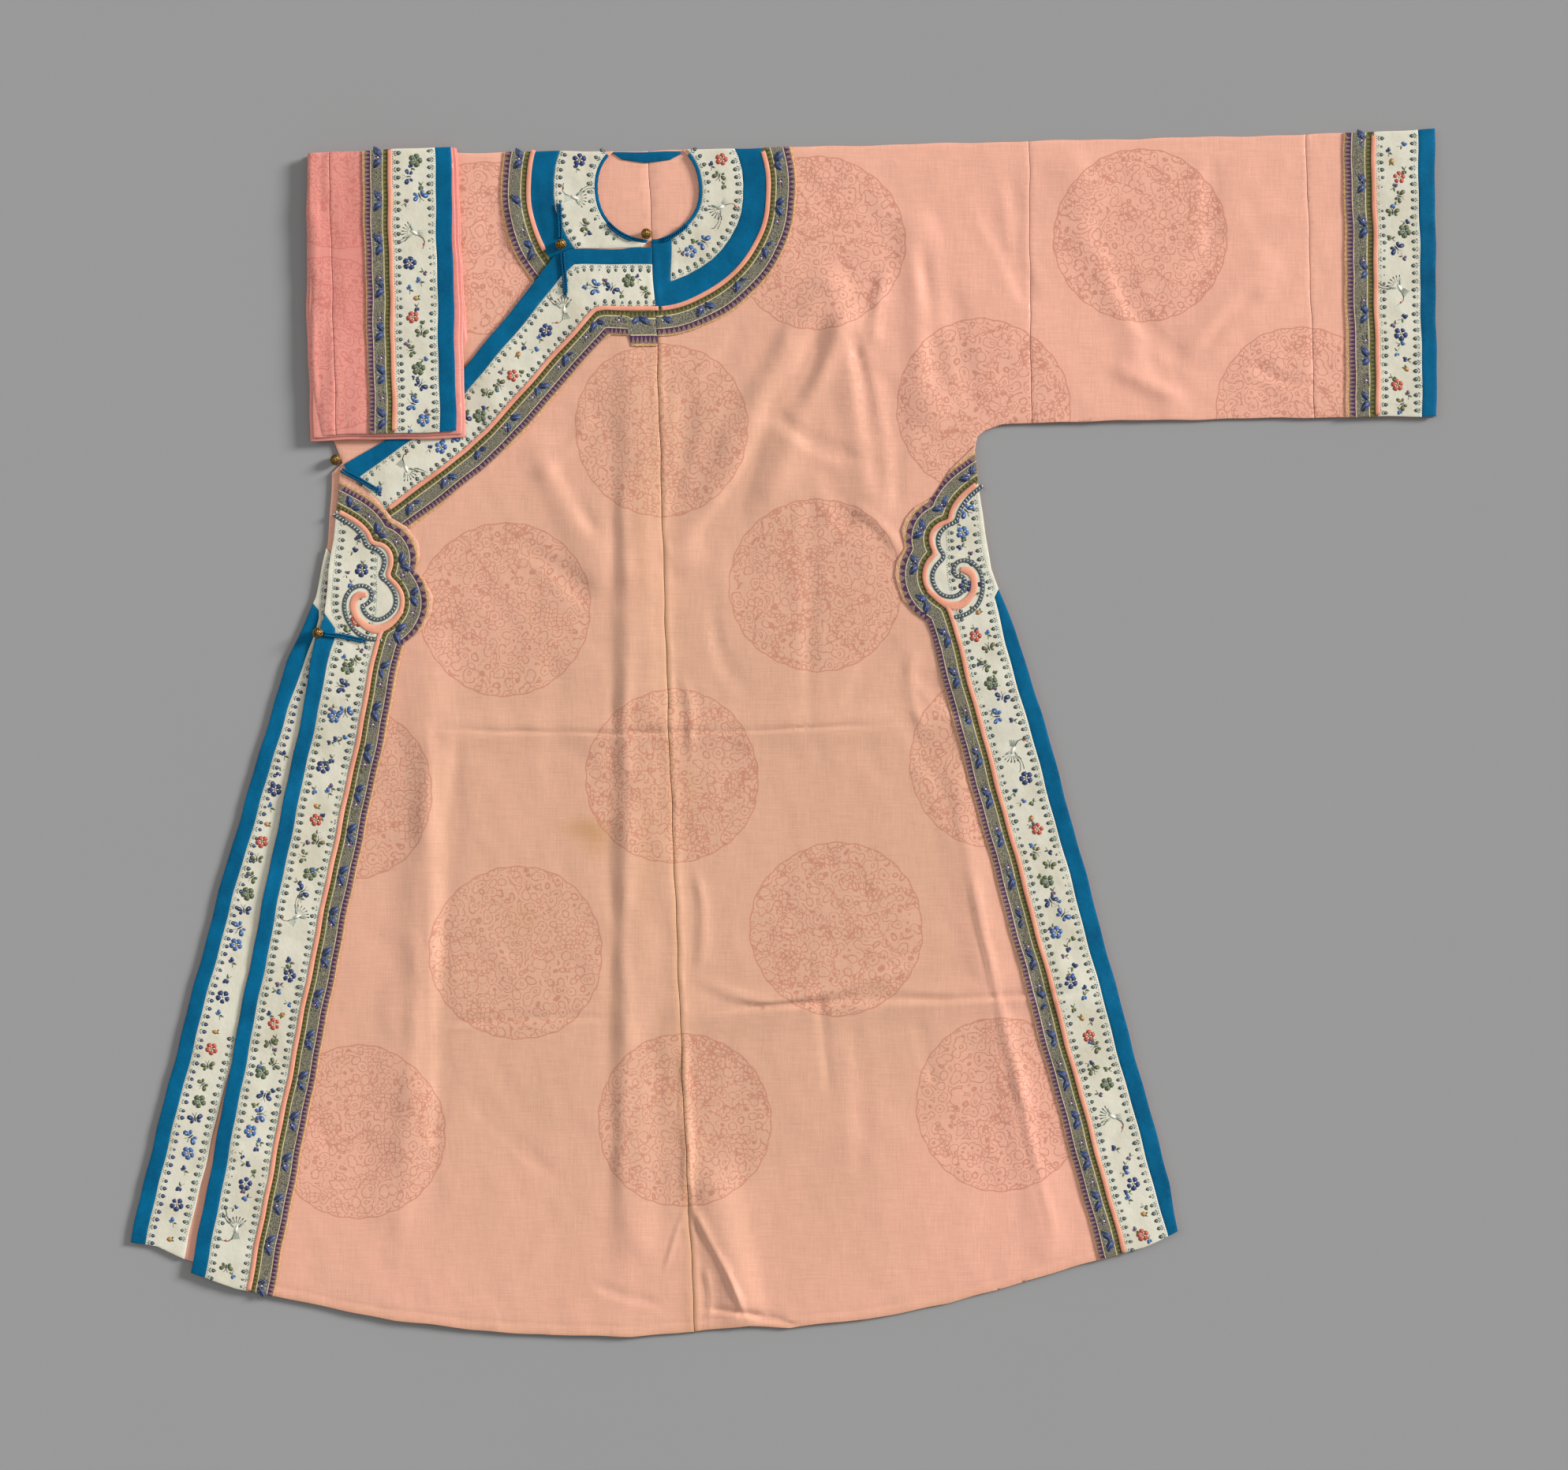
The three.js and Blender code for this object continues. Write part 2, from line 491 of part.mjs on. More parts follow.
function makeCollar() {
  const overlapShade = prism(inset(OVERLAP, -GAP), -FAR, 2 * FAR);
  const hole = prism(disc(NECK_RADIUS + POINT), -FAR, 2 * FAR);
  const beyond = ringSector(COLLAR_BLUE_OUT - GAP / 2, COLLAR_RIBBON_OUT + FAR, 255, 300);
  const sector = (inner, outer, ring) => ringSector(inner, outer, ring.from, ring.to);

  const leftBlue = trim(leftPanel, sector(COLLAR_CREAM_OUT, COLLAR_BLUE_OUT, LEFT_RING), TRIM_LIFT, TRIM);
  const leftCentre = trim(leftPanel, CENTRE_STRIP, TRIM_LIFT, TRIM)
    .subtract(prism(disc(BINDING_OUT + GAP / 2), -FAR, 2 * FAR))
    .subtract(prism(beyond, -FAR, 2 * FAR));
  addPiece('collar_left_blue', leftBlue.add(leftCentre), COLOURS.blue);
  const leftCream = trim(leftPanel, sector(BINDING_OUT, COLLAR_CREAM_OUT, LEFT_CREAM_RING), TRIM_LIFT, TRIM)
    .subtract(prism(inset(CENTRE_STRIP, -GAP / 2), -FAR, 2 * FAR));
  addPiece('collar_left_cream', leftCream, COLOURS.cream);

  const rings = [
    { piece: 'binding', from: NECK_RADIUS, to: BINDING_OUT, colour: COLOURS.blue },
    { piece: 'ribbon', from: COLLAR_BLUE_OUT, to: COLLAR_RIBBON_OUT, colour: COLOURS.ribbon },
  ];
  for (const { piece, from, to, colour } of rings) {
    const ring = trim(leftPanel, sector(from, to, LEFT_OUTER_RING), TRIM_LIFT, TRIM);
    addPiece(`collar_left_${piece}`, ring, colour);
  }
  const taped = (ring) => sector(COLLAR_BLUE_OUT - TAPE_WIDTH / 2, COLLAR_BLUE_OUT + TAPE_WIDTH / 2, ring);
  addPiece('collar_left_piping', trim(leftPanel, taped(LEFT_RING), TAPE_LIFT, TAPE), COLOURS.piping);

  const rightRings = [
    ...rings,
    { piece: 'cream', from: BINDING_OUT, to: COLLAR_CREAM_OUT, colour: COLOURS.cream },
    { piece: 'blue', from: COLLAR_CREAM_OUT, to: COLLAR_BLUE_OUT, colour: COLOURS.blue },
  ];
  for (const { piece, from, to, colour } of rightRings) {
    const ring = trim(underlapPanel, sector(from, to, RIGHT_RING), TRIM_LIFT, TRIM);
    addPiece(`collar_right_${piece}`, ring.subtract(overlapShade), colour);
  }
  const rightTape = trim(underlapPanel, taped(RIGHT_RING), TAPE_LIFT, TAPE).subtract(overlapShade);
  addPiece('collar_right_piping', rightTape, COLOURS.piping);

  const facing = layer(BACK_NECK_FACING, () => CLOTH + GAP, 0, TRIM).intersect(hole);
  addPiece('back_neck_facing', facing, COLOURS.blue);
}

function makeLapel(headRibbon) {
  const bands = [
    { piece: 'blue', from: 'edge', to: 'blue' },
    { piece: 'cream', from: 'blue', to: 'tape' },
    { piece: 'ribbon', from: 'tape', to: 'ribbon' },
  ];
  const headShade = prism(inset(headRibbon, -GAP / 2), -FAR, 2 * FAR);
  for (const { piece, from, to } of bands) {
    const points = [...LAPEL_ROWS.map((row) => row[from]), ...LAPEL_ROWS.map((row) => row[to]).reverse()];
    const band = trim(overlapPanel, points, TRIM_LIFT, TRIM).subtract(headShade);
    addPiece(`lapel_${piece}`, band, COLOURS[piece]);
  }
  const path = [...LAPEL_ROWS.map((row) => row.tape)];
  const tape = trim(overlapPanel, strip(path, TAPE_WIDTH), TAPE_LIFT, TAPE).subtract(headShade);
  addPiece('lapel_piping', tape, COLOURS.piping);
}

// Outlines of a side trim whose ribbon, piping and gimp make a cloud-shaped head at the top
function sideOutlines(edge, widths, side, head) {
  const low = edge.filter(([, y]) => y < HEAD_BOTTOM);
  const offset = (distance) => low.map(([x, y]) => [x + side * distance, y]);
  const outside = (top) => edge.filter(([, y]) => y < top).map(([x, y]) => [x - side * EDGE_PAST, y]);
  const blueOut = [widths.blueTop, ...outside(widths.blueTop[1])];
  const blueIn = [...widths.blueStart, ...offset(widths.blue)];
  const tapeLine = [...head.piping, ...offset(widths.tape)];
  return {
    blue: [...blueOut, ...blueIn.reverse()],
    cream: [...tapeLine, ...outside(head.piping[0][1]).reverse()],
    ribbon: [...head.outer, ...offset(widths.ribbon), ...[...tapeLine].reverse()],
    tapeLine,
  };
}

function makeSideTrim(name, panel, outlines, head) {
  const blueShade = prism(inset(outlines.blue, -GAP / 2), -FAR, 2 * FAR);
  const cream = trim(panel, outlines.cream, TRIM_LIFT, TRIM).subtract(blueShade);
  addPiece(`${name}_blue`, trim(panel, outlines.blue, TRIM_LIFT, TRIM), COLOURS.blue);
  addPiece(`${name}_cream`, cream, COLOURS.cream);
  addPiece(`${name}_ribbon`, trim(panel, outlines.ribbon, TRIM_LIFT, TRIM), COLOURS.ribbon);
  const line = trim(panel, strip(outlines.tapeLine, TAPE_WIDTH), TAPE_LIFT, TAPE);
  const curl = trim(panel, strip(head.curl, TAPE_WIDTH), TAPE_LIFT, TAPE);
  const piping = line.add(curl);
  addPiece(`${name}_piping`, piping, COLOURS.piping);
  const clear = prism(inset(strip(outlines.tapeLine, TAPE_WIDTH), -GAP), -FAR, 2 * FAR)
    .add(prism(inset(strip(head.curl, TAPE_WIDTH), -GAP), -FAR, 2 * FAR));
  const gimp = trim(panel, strip(head.gimp, GIMP_WIDTH), TAPE_LIFT, TAPE).subtract(clear);
  addPiece(`${name}_gimp`, gimp, COLOURS.gimp);
}

function makeUnderlapTrim() {
  const overlapShade = prism(inset(OVERLAP, -GAP), -FAR, 2 * FAR);
  const low = [...UNDERLAP_EDGE.slice(3), UNDERLAP_PAST];
  const blueOut = [UNDERLAP_SIDE.blueTop, ...low.map(([x, y]) => [x - EDGE_PAST, y])];
  const blueIn = [...UNDERLAP_SIDE.blueStart, ...low.slice(1).map(([x, y]) => [x + UNDERLAP_SIDE.blue, y])];
  const blue = [...blueOut, ...blueIn.reverse()];
  const creamOut = [...UNDERLAP_EDGE.slice(1), UNDERLAP_PAST].map(([x, y]) => [x - EDGE_PAST, y]);
  const creamIn = [...UNDERLAP_EDGE.slice(2), UNDERLAP_PAST].map(([x, y]) => [x + UNDERLAP_SIDE.tape, y]);
  const cream = [...creamOut, ...creamIn.reverse()];
  const blueShade = prism(inset(blue, -GAP / 2), -FAR, 2 * FAR);
  const blueBand = trim(underlapPanel, blue, TRIM_LIFT, TRIM).subtract(overlapShade);
  const creamBand = trim(underlapPanel, cream, TRIM_LIFT, TRIM).subtract(overlapShade).subtract(blueShade);
  addPiece('underlap_side_blue', blueBand, COLOURS.blue);
  addPiece('underlap_side_cream', creamBand, COLOURS.cream);
}

function makeButtons() {
  for (const { name, x, y, z } of BUTTONS) {
    const ball = new THREE.SphereGeometry(BUTTON_RADIUS, 16, 10);
    ball.rotateX(Math.PI / 2);
    ball.translate(x, y, z);
    addPiece(name, solidOf(ball), COLOURS.gold);
  }
}

// Cords sewn down beside the buttons
function makeCords() {
  for (const { name, on, from, to } of STRAIGHT_CORDS) {
    addPiece(name, trim(panels[on], strip([from, to], CORD_WIDTH), CORD_LIFT, CORD_HEIGHT), COLOURS.blue);
  }
  for (const { name, on, from, to } of NECK_CORDS) {
    const points = ringSector(NECK_RADIUS + 0.2, NECK_RADIUS + CORD_WIDTH, from, to);
    addPiece(name, trim(panels[on], points, CORD_LIFT, BINDING_CORD_HEIGHT), COLOURS.blue);
  }
}

makePanels();
makeStretchedSleeve();
makeFoldedSleeve();
makeCuff('left', { outline: SLEEVE_END, surface: leftFront }, STRETCHED_CUFF, STRETCHED_SPAN);
makeCuff('right', { outline: FOLDED_END, surface: foldedTop }, FOLDED_CUFF, FOLDED_SPAN);
makeCollar();

const overlapTrim = sideOutlines(OVERLAP_EDGE, OVERLAP_SIDE, 1, OVERLAP_HEAD);
const leftTrim = sideOutlines(LEFT_EDGE, LEFT_SIDE, -1, LEFT_HEAD);
makeLapel(overlapTrim.ribbon);
makeSideTrim('overlap_side', overlapPanel, overlapTrim, OVERLAP_HEAD);
makeSideTrim('left_side', leftPanel, leftTrim, LEFT_HEAD);
makeUnderlapTrim();
makeButtons();
makeCords();

// The origin is the middle of the robe's box, on the surface that it lies on
const box = new THREE.Box3().setFromObject(robe);
const middle = box.getCenter(new THREE.Vector3());
robe.position.set(-middle.x, -middle.y, -box.min.z);

export default robe;
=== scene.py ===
"""A woman's pink damask silk robe laid flat, one sleeve stretched out and the other folded over the shoulder.

Tables are in millimetres, seen from above: x to the viewer's right, y towards the shoulders, z up from the
surface that the robe lies on. Each cloth piece takes its cut from the CAD node that it stands for.
"""
import math

import bpy
import numpy as np
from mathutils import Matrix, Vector, geometry, kdtree


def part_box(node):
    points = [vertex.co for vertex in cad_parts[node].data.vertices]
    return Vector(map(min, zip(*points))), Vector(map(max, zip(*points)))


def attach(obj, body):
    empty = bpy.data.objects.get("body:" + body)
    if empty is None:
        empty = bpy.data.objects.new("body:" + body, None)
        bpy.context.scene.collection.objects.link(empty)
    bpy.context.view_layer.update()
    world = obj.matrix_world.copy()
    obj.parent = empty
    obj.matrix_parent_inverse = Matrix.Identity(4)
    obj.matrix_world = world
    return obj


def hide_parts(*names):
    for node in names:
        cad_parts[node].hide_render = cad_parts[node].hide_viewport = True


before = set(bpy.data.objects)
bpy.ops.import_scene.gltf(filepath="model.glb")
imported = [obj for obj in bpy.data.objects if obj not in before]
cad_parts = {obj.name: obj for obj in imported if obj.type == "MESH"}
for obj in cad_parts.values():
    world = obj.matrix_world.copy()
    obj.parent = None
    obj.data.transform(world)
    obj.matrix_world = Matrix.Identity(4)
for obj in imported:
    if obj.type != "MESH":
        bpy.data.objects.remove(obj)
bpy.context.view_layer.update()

MM = 0.001

# Cloth, and the heights of undersides from the surface up
CLOTH = 1.2
TRIM = 1.0
GAP = 0.3
FRONT_LEVEL = CLOTH + GAP
OVERLAP_LEVEL = 2 * (CLOTH + GAP)
TRIM_LIFT = CLOTH + GAP
TAPE_LIFT = TRIM_LIFT + TRIM
BAND_TOP = TRIM_LIFT + TRIM
FOLDED_LEVEL = 10.5

# Heights above which a CAD node's faces belong to its upper layer of cloth, or to a trim
UPPER_LAYER = 2.0
TRIM_LAYER = 0.5

# The round collar: circles about the middle of the neck hole
NECK = (-125, 504)
NECK_RADIUS = 47.1
BINDING_OUT = 50.4
COLLAR_CREAM_OUT = 88.3
COLLAR_BLUE_OUT = 111.5

# The collar's rings of piping, in degrees
LEFT_PIPING = (-84, 18)
RIGHT_PIPING = (161.5, 211)

# Strips on top of the bands
PIPING_WIDTH = 4.4
PIPING_HEIGHT = 0.9
CURL_HEIGHT = 0.95
GIMP_WIDTH = 4.2
GIMP_HEIGHT = 0.7

# Width that the ribbon's weave is drawn for; a wider or narrower ribbon stretches it
RIBBON_WIDTH = 25.0

# The photograph: 1988 pixels of 0.73 mm across, seen from straight above
PHOTO_WIDTH = 1988 * 0.73
PHOTO_MIDDLE = (0.36, -1.5)
CAMERA_HEIGHT = 4000
SENSOR = 36

# Half the floor's side and its height in metres, and the power of the white surroundings
FLOOR = 6
FLOOR_LEVEL = -0.0004
SURROUNDINGS = 0.39

# The stretched sleeve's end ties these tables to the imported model
SLEEVE_TIP = (603.85, 558.85)
sleeve_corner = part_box("left_sleeve_end")[1]
SHIFT = np.array([sleeve_corner[0] / MM - SLEEVE_TIP[0], sleeve_corner[1] / MM - SLEEVE_TIP[1], 0])

# Low folds that the solids have too: from, to, height and reach to either side
FOLDS = [
    ((-135, 330), (-135, -470), 2.2, 27),
    ((-327, 73), (-364, -440), 2.0, 30),
    ((-330, 2), (158, 8), 1.6, 26),
    ((-90, -261), (285, -238), 1.8, 27),
    ((41, 410), (-14, 300), 3.6, 28),
    ((-14, 300), (-92, 165), 3.0, 28),
    ((59, 380), (85, 212), 2.4, 26),
    ((122, 467), (136, 299), 2.6, 26),
    ((268, 518), (355, 310), 1.8, 30),
    ((443, 430), (377, 343), 1.8, 30),
    ((-222, 260), (-170, 150), 2.2, 27),
    ((154, -51), (245, -470), 1.6, 26),
    ((-64, -420), (-40, -530), 4.0, 30),
]

# Creases: path, rise, width and lean (0 even, 1 one side up and the other down)
CREASES = [
    ([(-153, 350), (-151, 140), (-151, -51), (-153, -300), (-155, -535)], 1.9, 9, 0.6),
    ([(-128, 320), (-120, 60), (-112, -100), (-106, -300), (-98, -500)], 1.3, 14, 0.0),
    ([(-327, 73), (-335, -15), (-342, -197), (-349, -343), (-364, -518)], 1.9, 15, 0.6),
    ([(-300, 60), (-312, -100), (-322, -300), (-330, -480)], -1.2, 9, 0.5),
    ([(-360, 4), (-230, 0), (-105, -1), (30, 4), (158, 11)], -1.1, 2.6, 0.4),
    ([(-90, -261), (0, -252), (78, -248), (200, -246), (297, -239)], -2.0, 4.0, 0.5),
    ([(-327, -270), (-270, -268), (-214, -263), (-140, -266)], -1.1, 4.0, 0.5),
    ([(-90, -226), (-24, -256), (78, -234), (151, -208)], 1.8, 6, 0.6),
    ([(20, 241), (21, 120), (20, -15)], -1.1, 8, 0.5),
    ([(30, -230), (36, -290), (41, -336)], -1.3, 5, 0.4),
    ([(41, 420), (19, 336), (-14, 307), (-24, 270), (-54, 204), (-108, 153)], -3.6, 11, 0.3),
    ([(62, 430), (44, 350), (16, 300), (0, 250), (-30, 190)], 2.4, 12, 0.0),
    ([(10, 400), (-6, 350), (-40, 300), (-70, 240)], 1.8, 10, 0.3),
    ([(-90, 336), (-101, 204)], -1.9, 8, 0.4),
    ([(-70, 120), (-60, 60), (-30, 30)], -1.2, 8, 0.5),
    ([(-222, 270), (-198, 220), (-170, 175)], -2.0, 9, 0.4),
    ([(-258, 182), (-210, 150), (-170, 110)], -1.6, 10, 0.4),
    ([(34, 248), (59, 182)], -1.6, 7, 0.4),
    ([(59, 387), (76, 300), (85, 212)], -2.4, 8, 0.3),
    ([(88, 340), (104, 270), (100, 200)], -1.5, 8, 0.5),
    ([(122, 467), (134, 380), (136, 299)], -2.2, 10, 0.4),
    ([(150, 420), (160, 350), (172, 300)], -1.6, 8, 0.5),
    ([(180, 489), (205, 440), (231, 387)], -1.6, 10, 0.4),
    ([(268, 518), (318, 400), (355, 299)], -1.9, 13, 0.4),
    ([(300, 420), (350, 350), (420, 310)], -1.2, 12, 0.5),
    ([(472, 482), (415, 455), (355, 423)], -1.6, 10, 0.5),
    ([(443, 416), (405, 385), (377, 343)], -1.6, 10, 0.5),
    ([(154, -51), (190, -220), (225, -370), (253, -489)], 1.5, 5, 0.5),
    ([(120, 60), (150, 20), (185, 0)], -1.6, 7, 0.5),
    ([(96, 30), (140, -40), (160, -110)], -1.0, 8, 0.5),
    ([(-305, -321), (-260, -370), (-203, -423)], -0.9, 9, 0.4),
    ([(60, -260), (70, -330), (66, -420)], -0.9, 8, 0.5),
    ([(120, -262), (128, -300), (140, -330)], -1.2, 5, 0.4),
    ([(-94, -270), (-91, -350), (-89, -438)], 1.8, 4, 0.2),
    ([(-90, -430), (-82, -445), (-66, -478), (-50, -504), (-37, -540), (-33, -546)], 2.6, 3.4, 0.5),
    ([(-74, -490), (-68, -520), (-70, -546)], 1.6, 4, 0.3),
    ([(-84, -533), (-60, -534), (-30, -537), (8, -547), (22, -551)], -2.2, 2.8, 0.3),
    ([(-92, -440), (-104, -470), (-112, -500)], 0.8, 3, 0.5),
    ([(-180, -510), (-150, -522), (-110, -530)], -0.9, 4, 0.5),
    ([(-287, 511), (-275, 470), (-262, 438)], -2.0, 9, 0.4),
    ([(-255, 500), (-250, 460), (-268, 420)], 1.8, 8, 0.4),
    ([(-240, 520), (-232, 480), (-225, 450)], -1.5, 7, 0.4),
    ([(-40, 380), (-60, 340), (-92, 310)], -1.6, 6, 0.5),
    ([(96, 440), (84, 400), (80, 350)], 1.8, 8, 0.4),
    ([(-20, 300), (30, 262), (84, 246)], -1.5, 7, 0.5),
    ([(60, 210), (92, 190), (110, 160)], 1.6, 6, 0.4),
    ([(100, 96), (70, 60), (52, 20)], -1.4, 8, 0.5),
    ([(118, 84), (112, 40), (128, 0)], 1.4, 7, 0.4),
    ([(-60, 240), (-44, 180), (-50, 120)], -1.2, 9, 0.5),
    ([(-98, 60), (-86, 20), (-88, -30)], 1.3, 5, 0.4),
    ([(-84, -120), (-76, -170), (-82, -230)], 1.2, 5, 0.5),
    ([(200, -120), (222, -200), (250, -300)], -1.3, 8, 0.5),
    ([(-220, 90), (-214, 30), (-220, -60)], -0.9, 12, 0.5),
    ([(-332, 70), (-330, -120), (-329, -420)], 0.7, 6, 0.6),
    ([(-180, 300), (-200, 262), (-236, 236)], 1.4, 7, 0.4),
    ([(205, 530), (214, 470), (212, 420)], -1.3, 7, 0.5),
    ([(395, 540), (388, 480), (396, 430)], -1.2, 9, 0.5),
    ([(300, 340), (330, 320), (372, 306)], 1.3, 8, 0.4),
    ([(430, 340), (455, 325), (478, 318)], -1.1, 8, 0.5),
]

# The underlap's inner edge: y and x. The overlap steps down past it from 13 to 42 mm.
UNDERLAP_INNER = ([-550, 372, 437, 457], [-157, -157, -141, -125])
STEP_START = 13
STEP_END = 42

LAPEL_BLUE = [(-116, 434), (-141, 434), (-150, 434), (-193, 433), (-205, 423), (-275, 337), (-314, 292),
              (-352, 266), (-398, 232)]
LAPEL_TAPE = [(-116, 393), (-141, 393), (-144, 393), (-172, 393), (-180, 386), (-244, 314), (-284, 269),
              (-322, 240), (-372, 203)]

OVERLAP_EDGE = [(-425, 106), (-433, 88), (-444, 22), (-475, -124), (-504, -270), (-532, -416), (-548, -499),
                (-556, -540)]
LEFT_EDGE = [(192, 153), (214, 95), (238, 22), (278, -124), (317, -270), (357, -416), (382, -508)]
UNDERLAP_EDGE = [(-433, 126), (-459, 66), (-473, 22), (-516, -124), (-555, -270), (-592, -416), (-604, -471)]
OVERLAP_TAPE = 56.5
LEFT_TAPE = 59.5
HEAD_BOTTOM = 80

# The centre seam and the hem's edge
CENTRE_SEAM = [(-122, 450), (-117, 358), (-107, 22), (-92, -356), (-82, -554)]
HEM = [(358, -468), (224, -507), (151, -528), (78, -542), (5, -550), (-32, -548), (-78, -553), (-141, -558),
       (-214, -557), (-287, -552), (-360, -543), (-433, -529), (-506, -513)]
HEM_TURN = 9.5

# How much the creases of the table are deepened
CREASE_STRENGTH = 1.6

# Lift of the overlap's free edge, and how much more it is lifted by the slit's button
EDGE_LIFT = 1.3
BUTTON_LIFT = 1.3

# Cloud-shaped heads of the side trims
LEFT_HEAD = {
    "piping": [(186, 236), (168, 223), (158, 213), (154, 204), (154, 197), (144, 194), (137, 186), (136, 176),
               (141, 166), (133, 158), (130, 145), (133, 132), (143, 123), (154, 117)],
    "curl": [(154, 117), (166, 120), (176, 131), (177, 142), (173, 150), (165, 152)],
    "gimp": [(184, 229), (170, 218), (162, 207), (160, 196), (151, 193), (143, 184), (143, 172), (150, 164),
             (141, 155), (137, 144), (141, 132), (149, 126), (160, 127), (168, 134), (169, 141)],
}
OVERLAP_HEAD = {
    "piping": [(-418, 209), (-395, 196), (-384, 185), (-381, 175), (-370, 174), (-363, 166), (-362, 155),
               (-366, 145), (-357, 137), (-352, 127), (-353, 113), (-362, 101), (-375, 95)],
    "curl": [(-375, 95), (-385, 98), (-395, 107), (-399, 119), (-395, 128), (-387, 128)],
    "gimp": [(-416, 203), (-397, 191), (-388, 181), (-386, 172), (-376, 170), (-368, 162), (-369, 152),
             (-373, 145), (-364, 138), (-358, 127), (-359, 115), (-368, 106), (-378, 104), (-387, 111),
             (-390, 119)],
}

# Cuffs as left and right edges at the top and the bottom of the sleeve
STRETCHED_CUFF = {"top": 553, "bottom": 294, "piping": (545, 550), "blue": (586, 591)}
FOLDED_CUFF = {"top": 538, "bottom": 279, "piping": (-364, -359), "blue": (-322, -317)}

# The folded sleeve's hidden layers: left, right, bottom, and height of the underside
HIDDEN_LAYERS = [
    (-440, -291, 271, 3.0),
    (-437, -294, 274, 4.8),
    (-441, -292, 270, 6.6),
    (-438, -295, 273, 8.4),
]
HIDDEN_THICKNESS = 1.7
HIDDEN_STEP = 5.0
HIDDEN_CUT_BELOW = 6

# Middles and radius of the damask roundels, and the depth that stands for far outside one
ROUNDEL_RADIUS = 80
OUTSIDE = -50.0
ROUNDELS = [(-113, 281), (-258, 115), (30, 137), (-103, -40), (-247, -203), (49, -181), (-393, -369),
            (-92, -358), (202, -343), (330, 460), (32, 454), (184, 303), (479, 296), (-404, -55), (196, -26),
            (-278, 449), (-411, 527), (-419, 359)]

BUTTONS = [
    ("button_neck", (-127, 462, 7.0)),
    ("button_collar_corner", (-205.5, 451.5, 9.3)),
    ("button_underarm", (-413.8, 253, 5.3)),
    ("button_slit", (-430.5, 93, 10.8)),
]
BUTTON_RADIUS = 5

# Mesh steps
FINE = 4.0
MIDDLING = 6.0
BAND_STEP = 3.0
COARSE = 8.0
CLOSE = 2.5
PATH_STEP = 2.0


# Shapes of the lying cloth

def segment_places(x, y, path):
    """For each point: signed distance from a path (left of it is positive) and the length along it."""
    path = np.asarray(path, float)
    best = np.full(x.shape, 1e9)
    signed = np.zeros(x.shape)
    along = np.zeros(x.shape)
    start = 0.0
    for (ax, ay), (bx, by) in zip(path[:-1], path[1:]):
        length = math.hypot(bx - ax, by - ay)
        ux, uy = (bx - ax) / length, (by - ay) / length
        t = np.clip((x - ax) * ux + (y - ay) * uy, 0, length)
        dx, dy = x - ax - t * ux, y - ay - t * uy
        away = np.hypot(dx, dy)
        side = np.where(ux * dy - uy * dx >= 0, 1.0, -1.0)
        nearer = away < best
        best = np.where(nearer, away, best)
        signed = np.where(nearer, away * side, signed)
        along = np.where(nearer, start + t, along)
        start += length
    return signed, along, start


def smooth_path(points, step=3.0, rounds=2):
    """A path with its corners eased, as points about a step apart."""
    path = np.asarray(points, float)
    for _ in range(rounds):
        left = path[:-1] * 0.75 + path[1:] * 0.25
        right = path[:-1] * 0.25 + path[1:] * 0.75
        path = np.vstack([path[:1], np.stack([left, right], 1).reshape(-1, path.shape[1]), path[-1:]])
    return even(path, max(2, int(math.ceil(lengths_along(path)[-1] / step)) + 1))


def even(path, count):
    """A path as a given number of points, evenly spaced."""
    lengths = lengths_along(path)
    where = np.linspace(0, lengths[-1], count)
    return np.stack([np.interp(where, lengths, path[:, k]) for k in range(path.shape[1])], 1)


def path_normals(path):
    """Unit vectors to the left of a flat path."""
    way = np.gradient(path[:, :2], axis=0)
    way /= np.linalg.norm(way, axis=1)[:, None] + 1e-12
    return np.stack([-way[:, 1], way[:, 0]], 1)


def lengths_along(path):
    """The length along a path at each of its points."""
    return np.concatenate([[0], np.cumsum(np.linalg.norm(np.diff(path, axis=0), axis=1))])


def ease(t):
    t = np.clip(t, 0, 1)
    return t * t * (3 - 2 * t)


def fold_height(x, y):
    """Height of the broad folds."""
    height = np.zeros(np.shape(x))
    for start, end, rise, reach in FOLDS:
        away = np.abs(segment_places(x, y, [start, end])[0]) / reach
        swell = rise * 0.5 * (1 + np.cos(np.pi * np.minimum(away, 1)))
        height = np.maximum(height, np.where(away < 1, swell, 0))
    return height


CREASE_LINES = [(smooth_path(path, 14), rise * CREASE_STRENGTH, width, lean)
                for path, rise, width, lean in CREASES]


def crease_height(x, y):
    """Rises and troughs of the creases, tapered at both ends and uneven along their length."""
    height = np.zeros(np.shape(x))
    for number, (line, rise, width, lean) in enumerate(CREASE_LINES):
        low, high = line.min(0) - 3 * width, line.max(0) + 3 * width
        near = (x > low[0]) & (x < high[0]) & (y > low[1]) & (y < high[1])
        if not near.any():
            continue
        signed, along, length = segment_places(x[near], y[near], line)
        ends = ease(along / (0.25 * length)) * ease((length - along) / (0.25 * length))
        uneven = 1 + 0.25 * np.sin(along / 23 + number) + 0.15 * np.sin(along / 9.7 + 2 * number)
        across = signed / (width * (1 + 0.25 * np.sin(along / 31 + 3 * number)))
        bell = np.exp(-across ** 2)
        height[near] += rise * ends * uneven * bell * ((1 - lean) + lean * 1.7 * across)
    return height


def seam_roll(x, y):
    """The rolls of seam allowance on either side of the centre seam, puckered by the thread."""
    signed = segment_places(x, y, CENTRE_SEAM)[0]
    pucker = 1 + 0.35 * np.sin(y / 5.3 + 1.2 * np.sin(y / 13)) + 0.25 * np.sin(y / 37)
    right = 0.9 * np.exp(-((signed - 3.4) / 2.4) ** 2)
    left = 0.5 * np.exp(-((signed + 3.8) / 2.8) ** 2)
    return (right + left) * pucker * ease((452 - y) / 20)


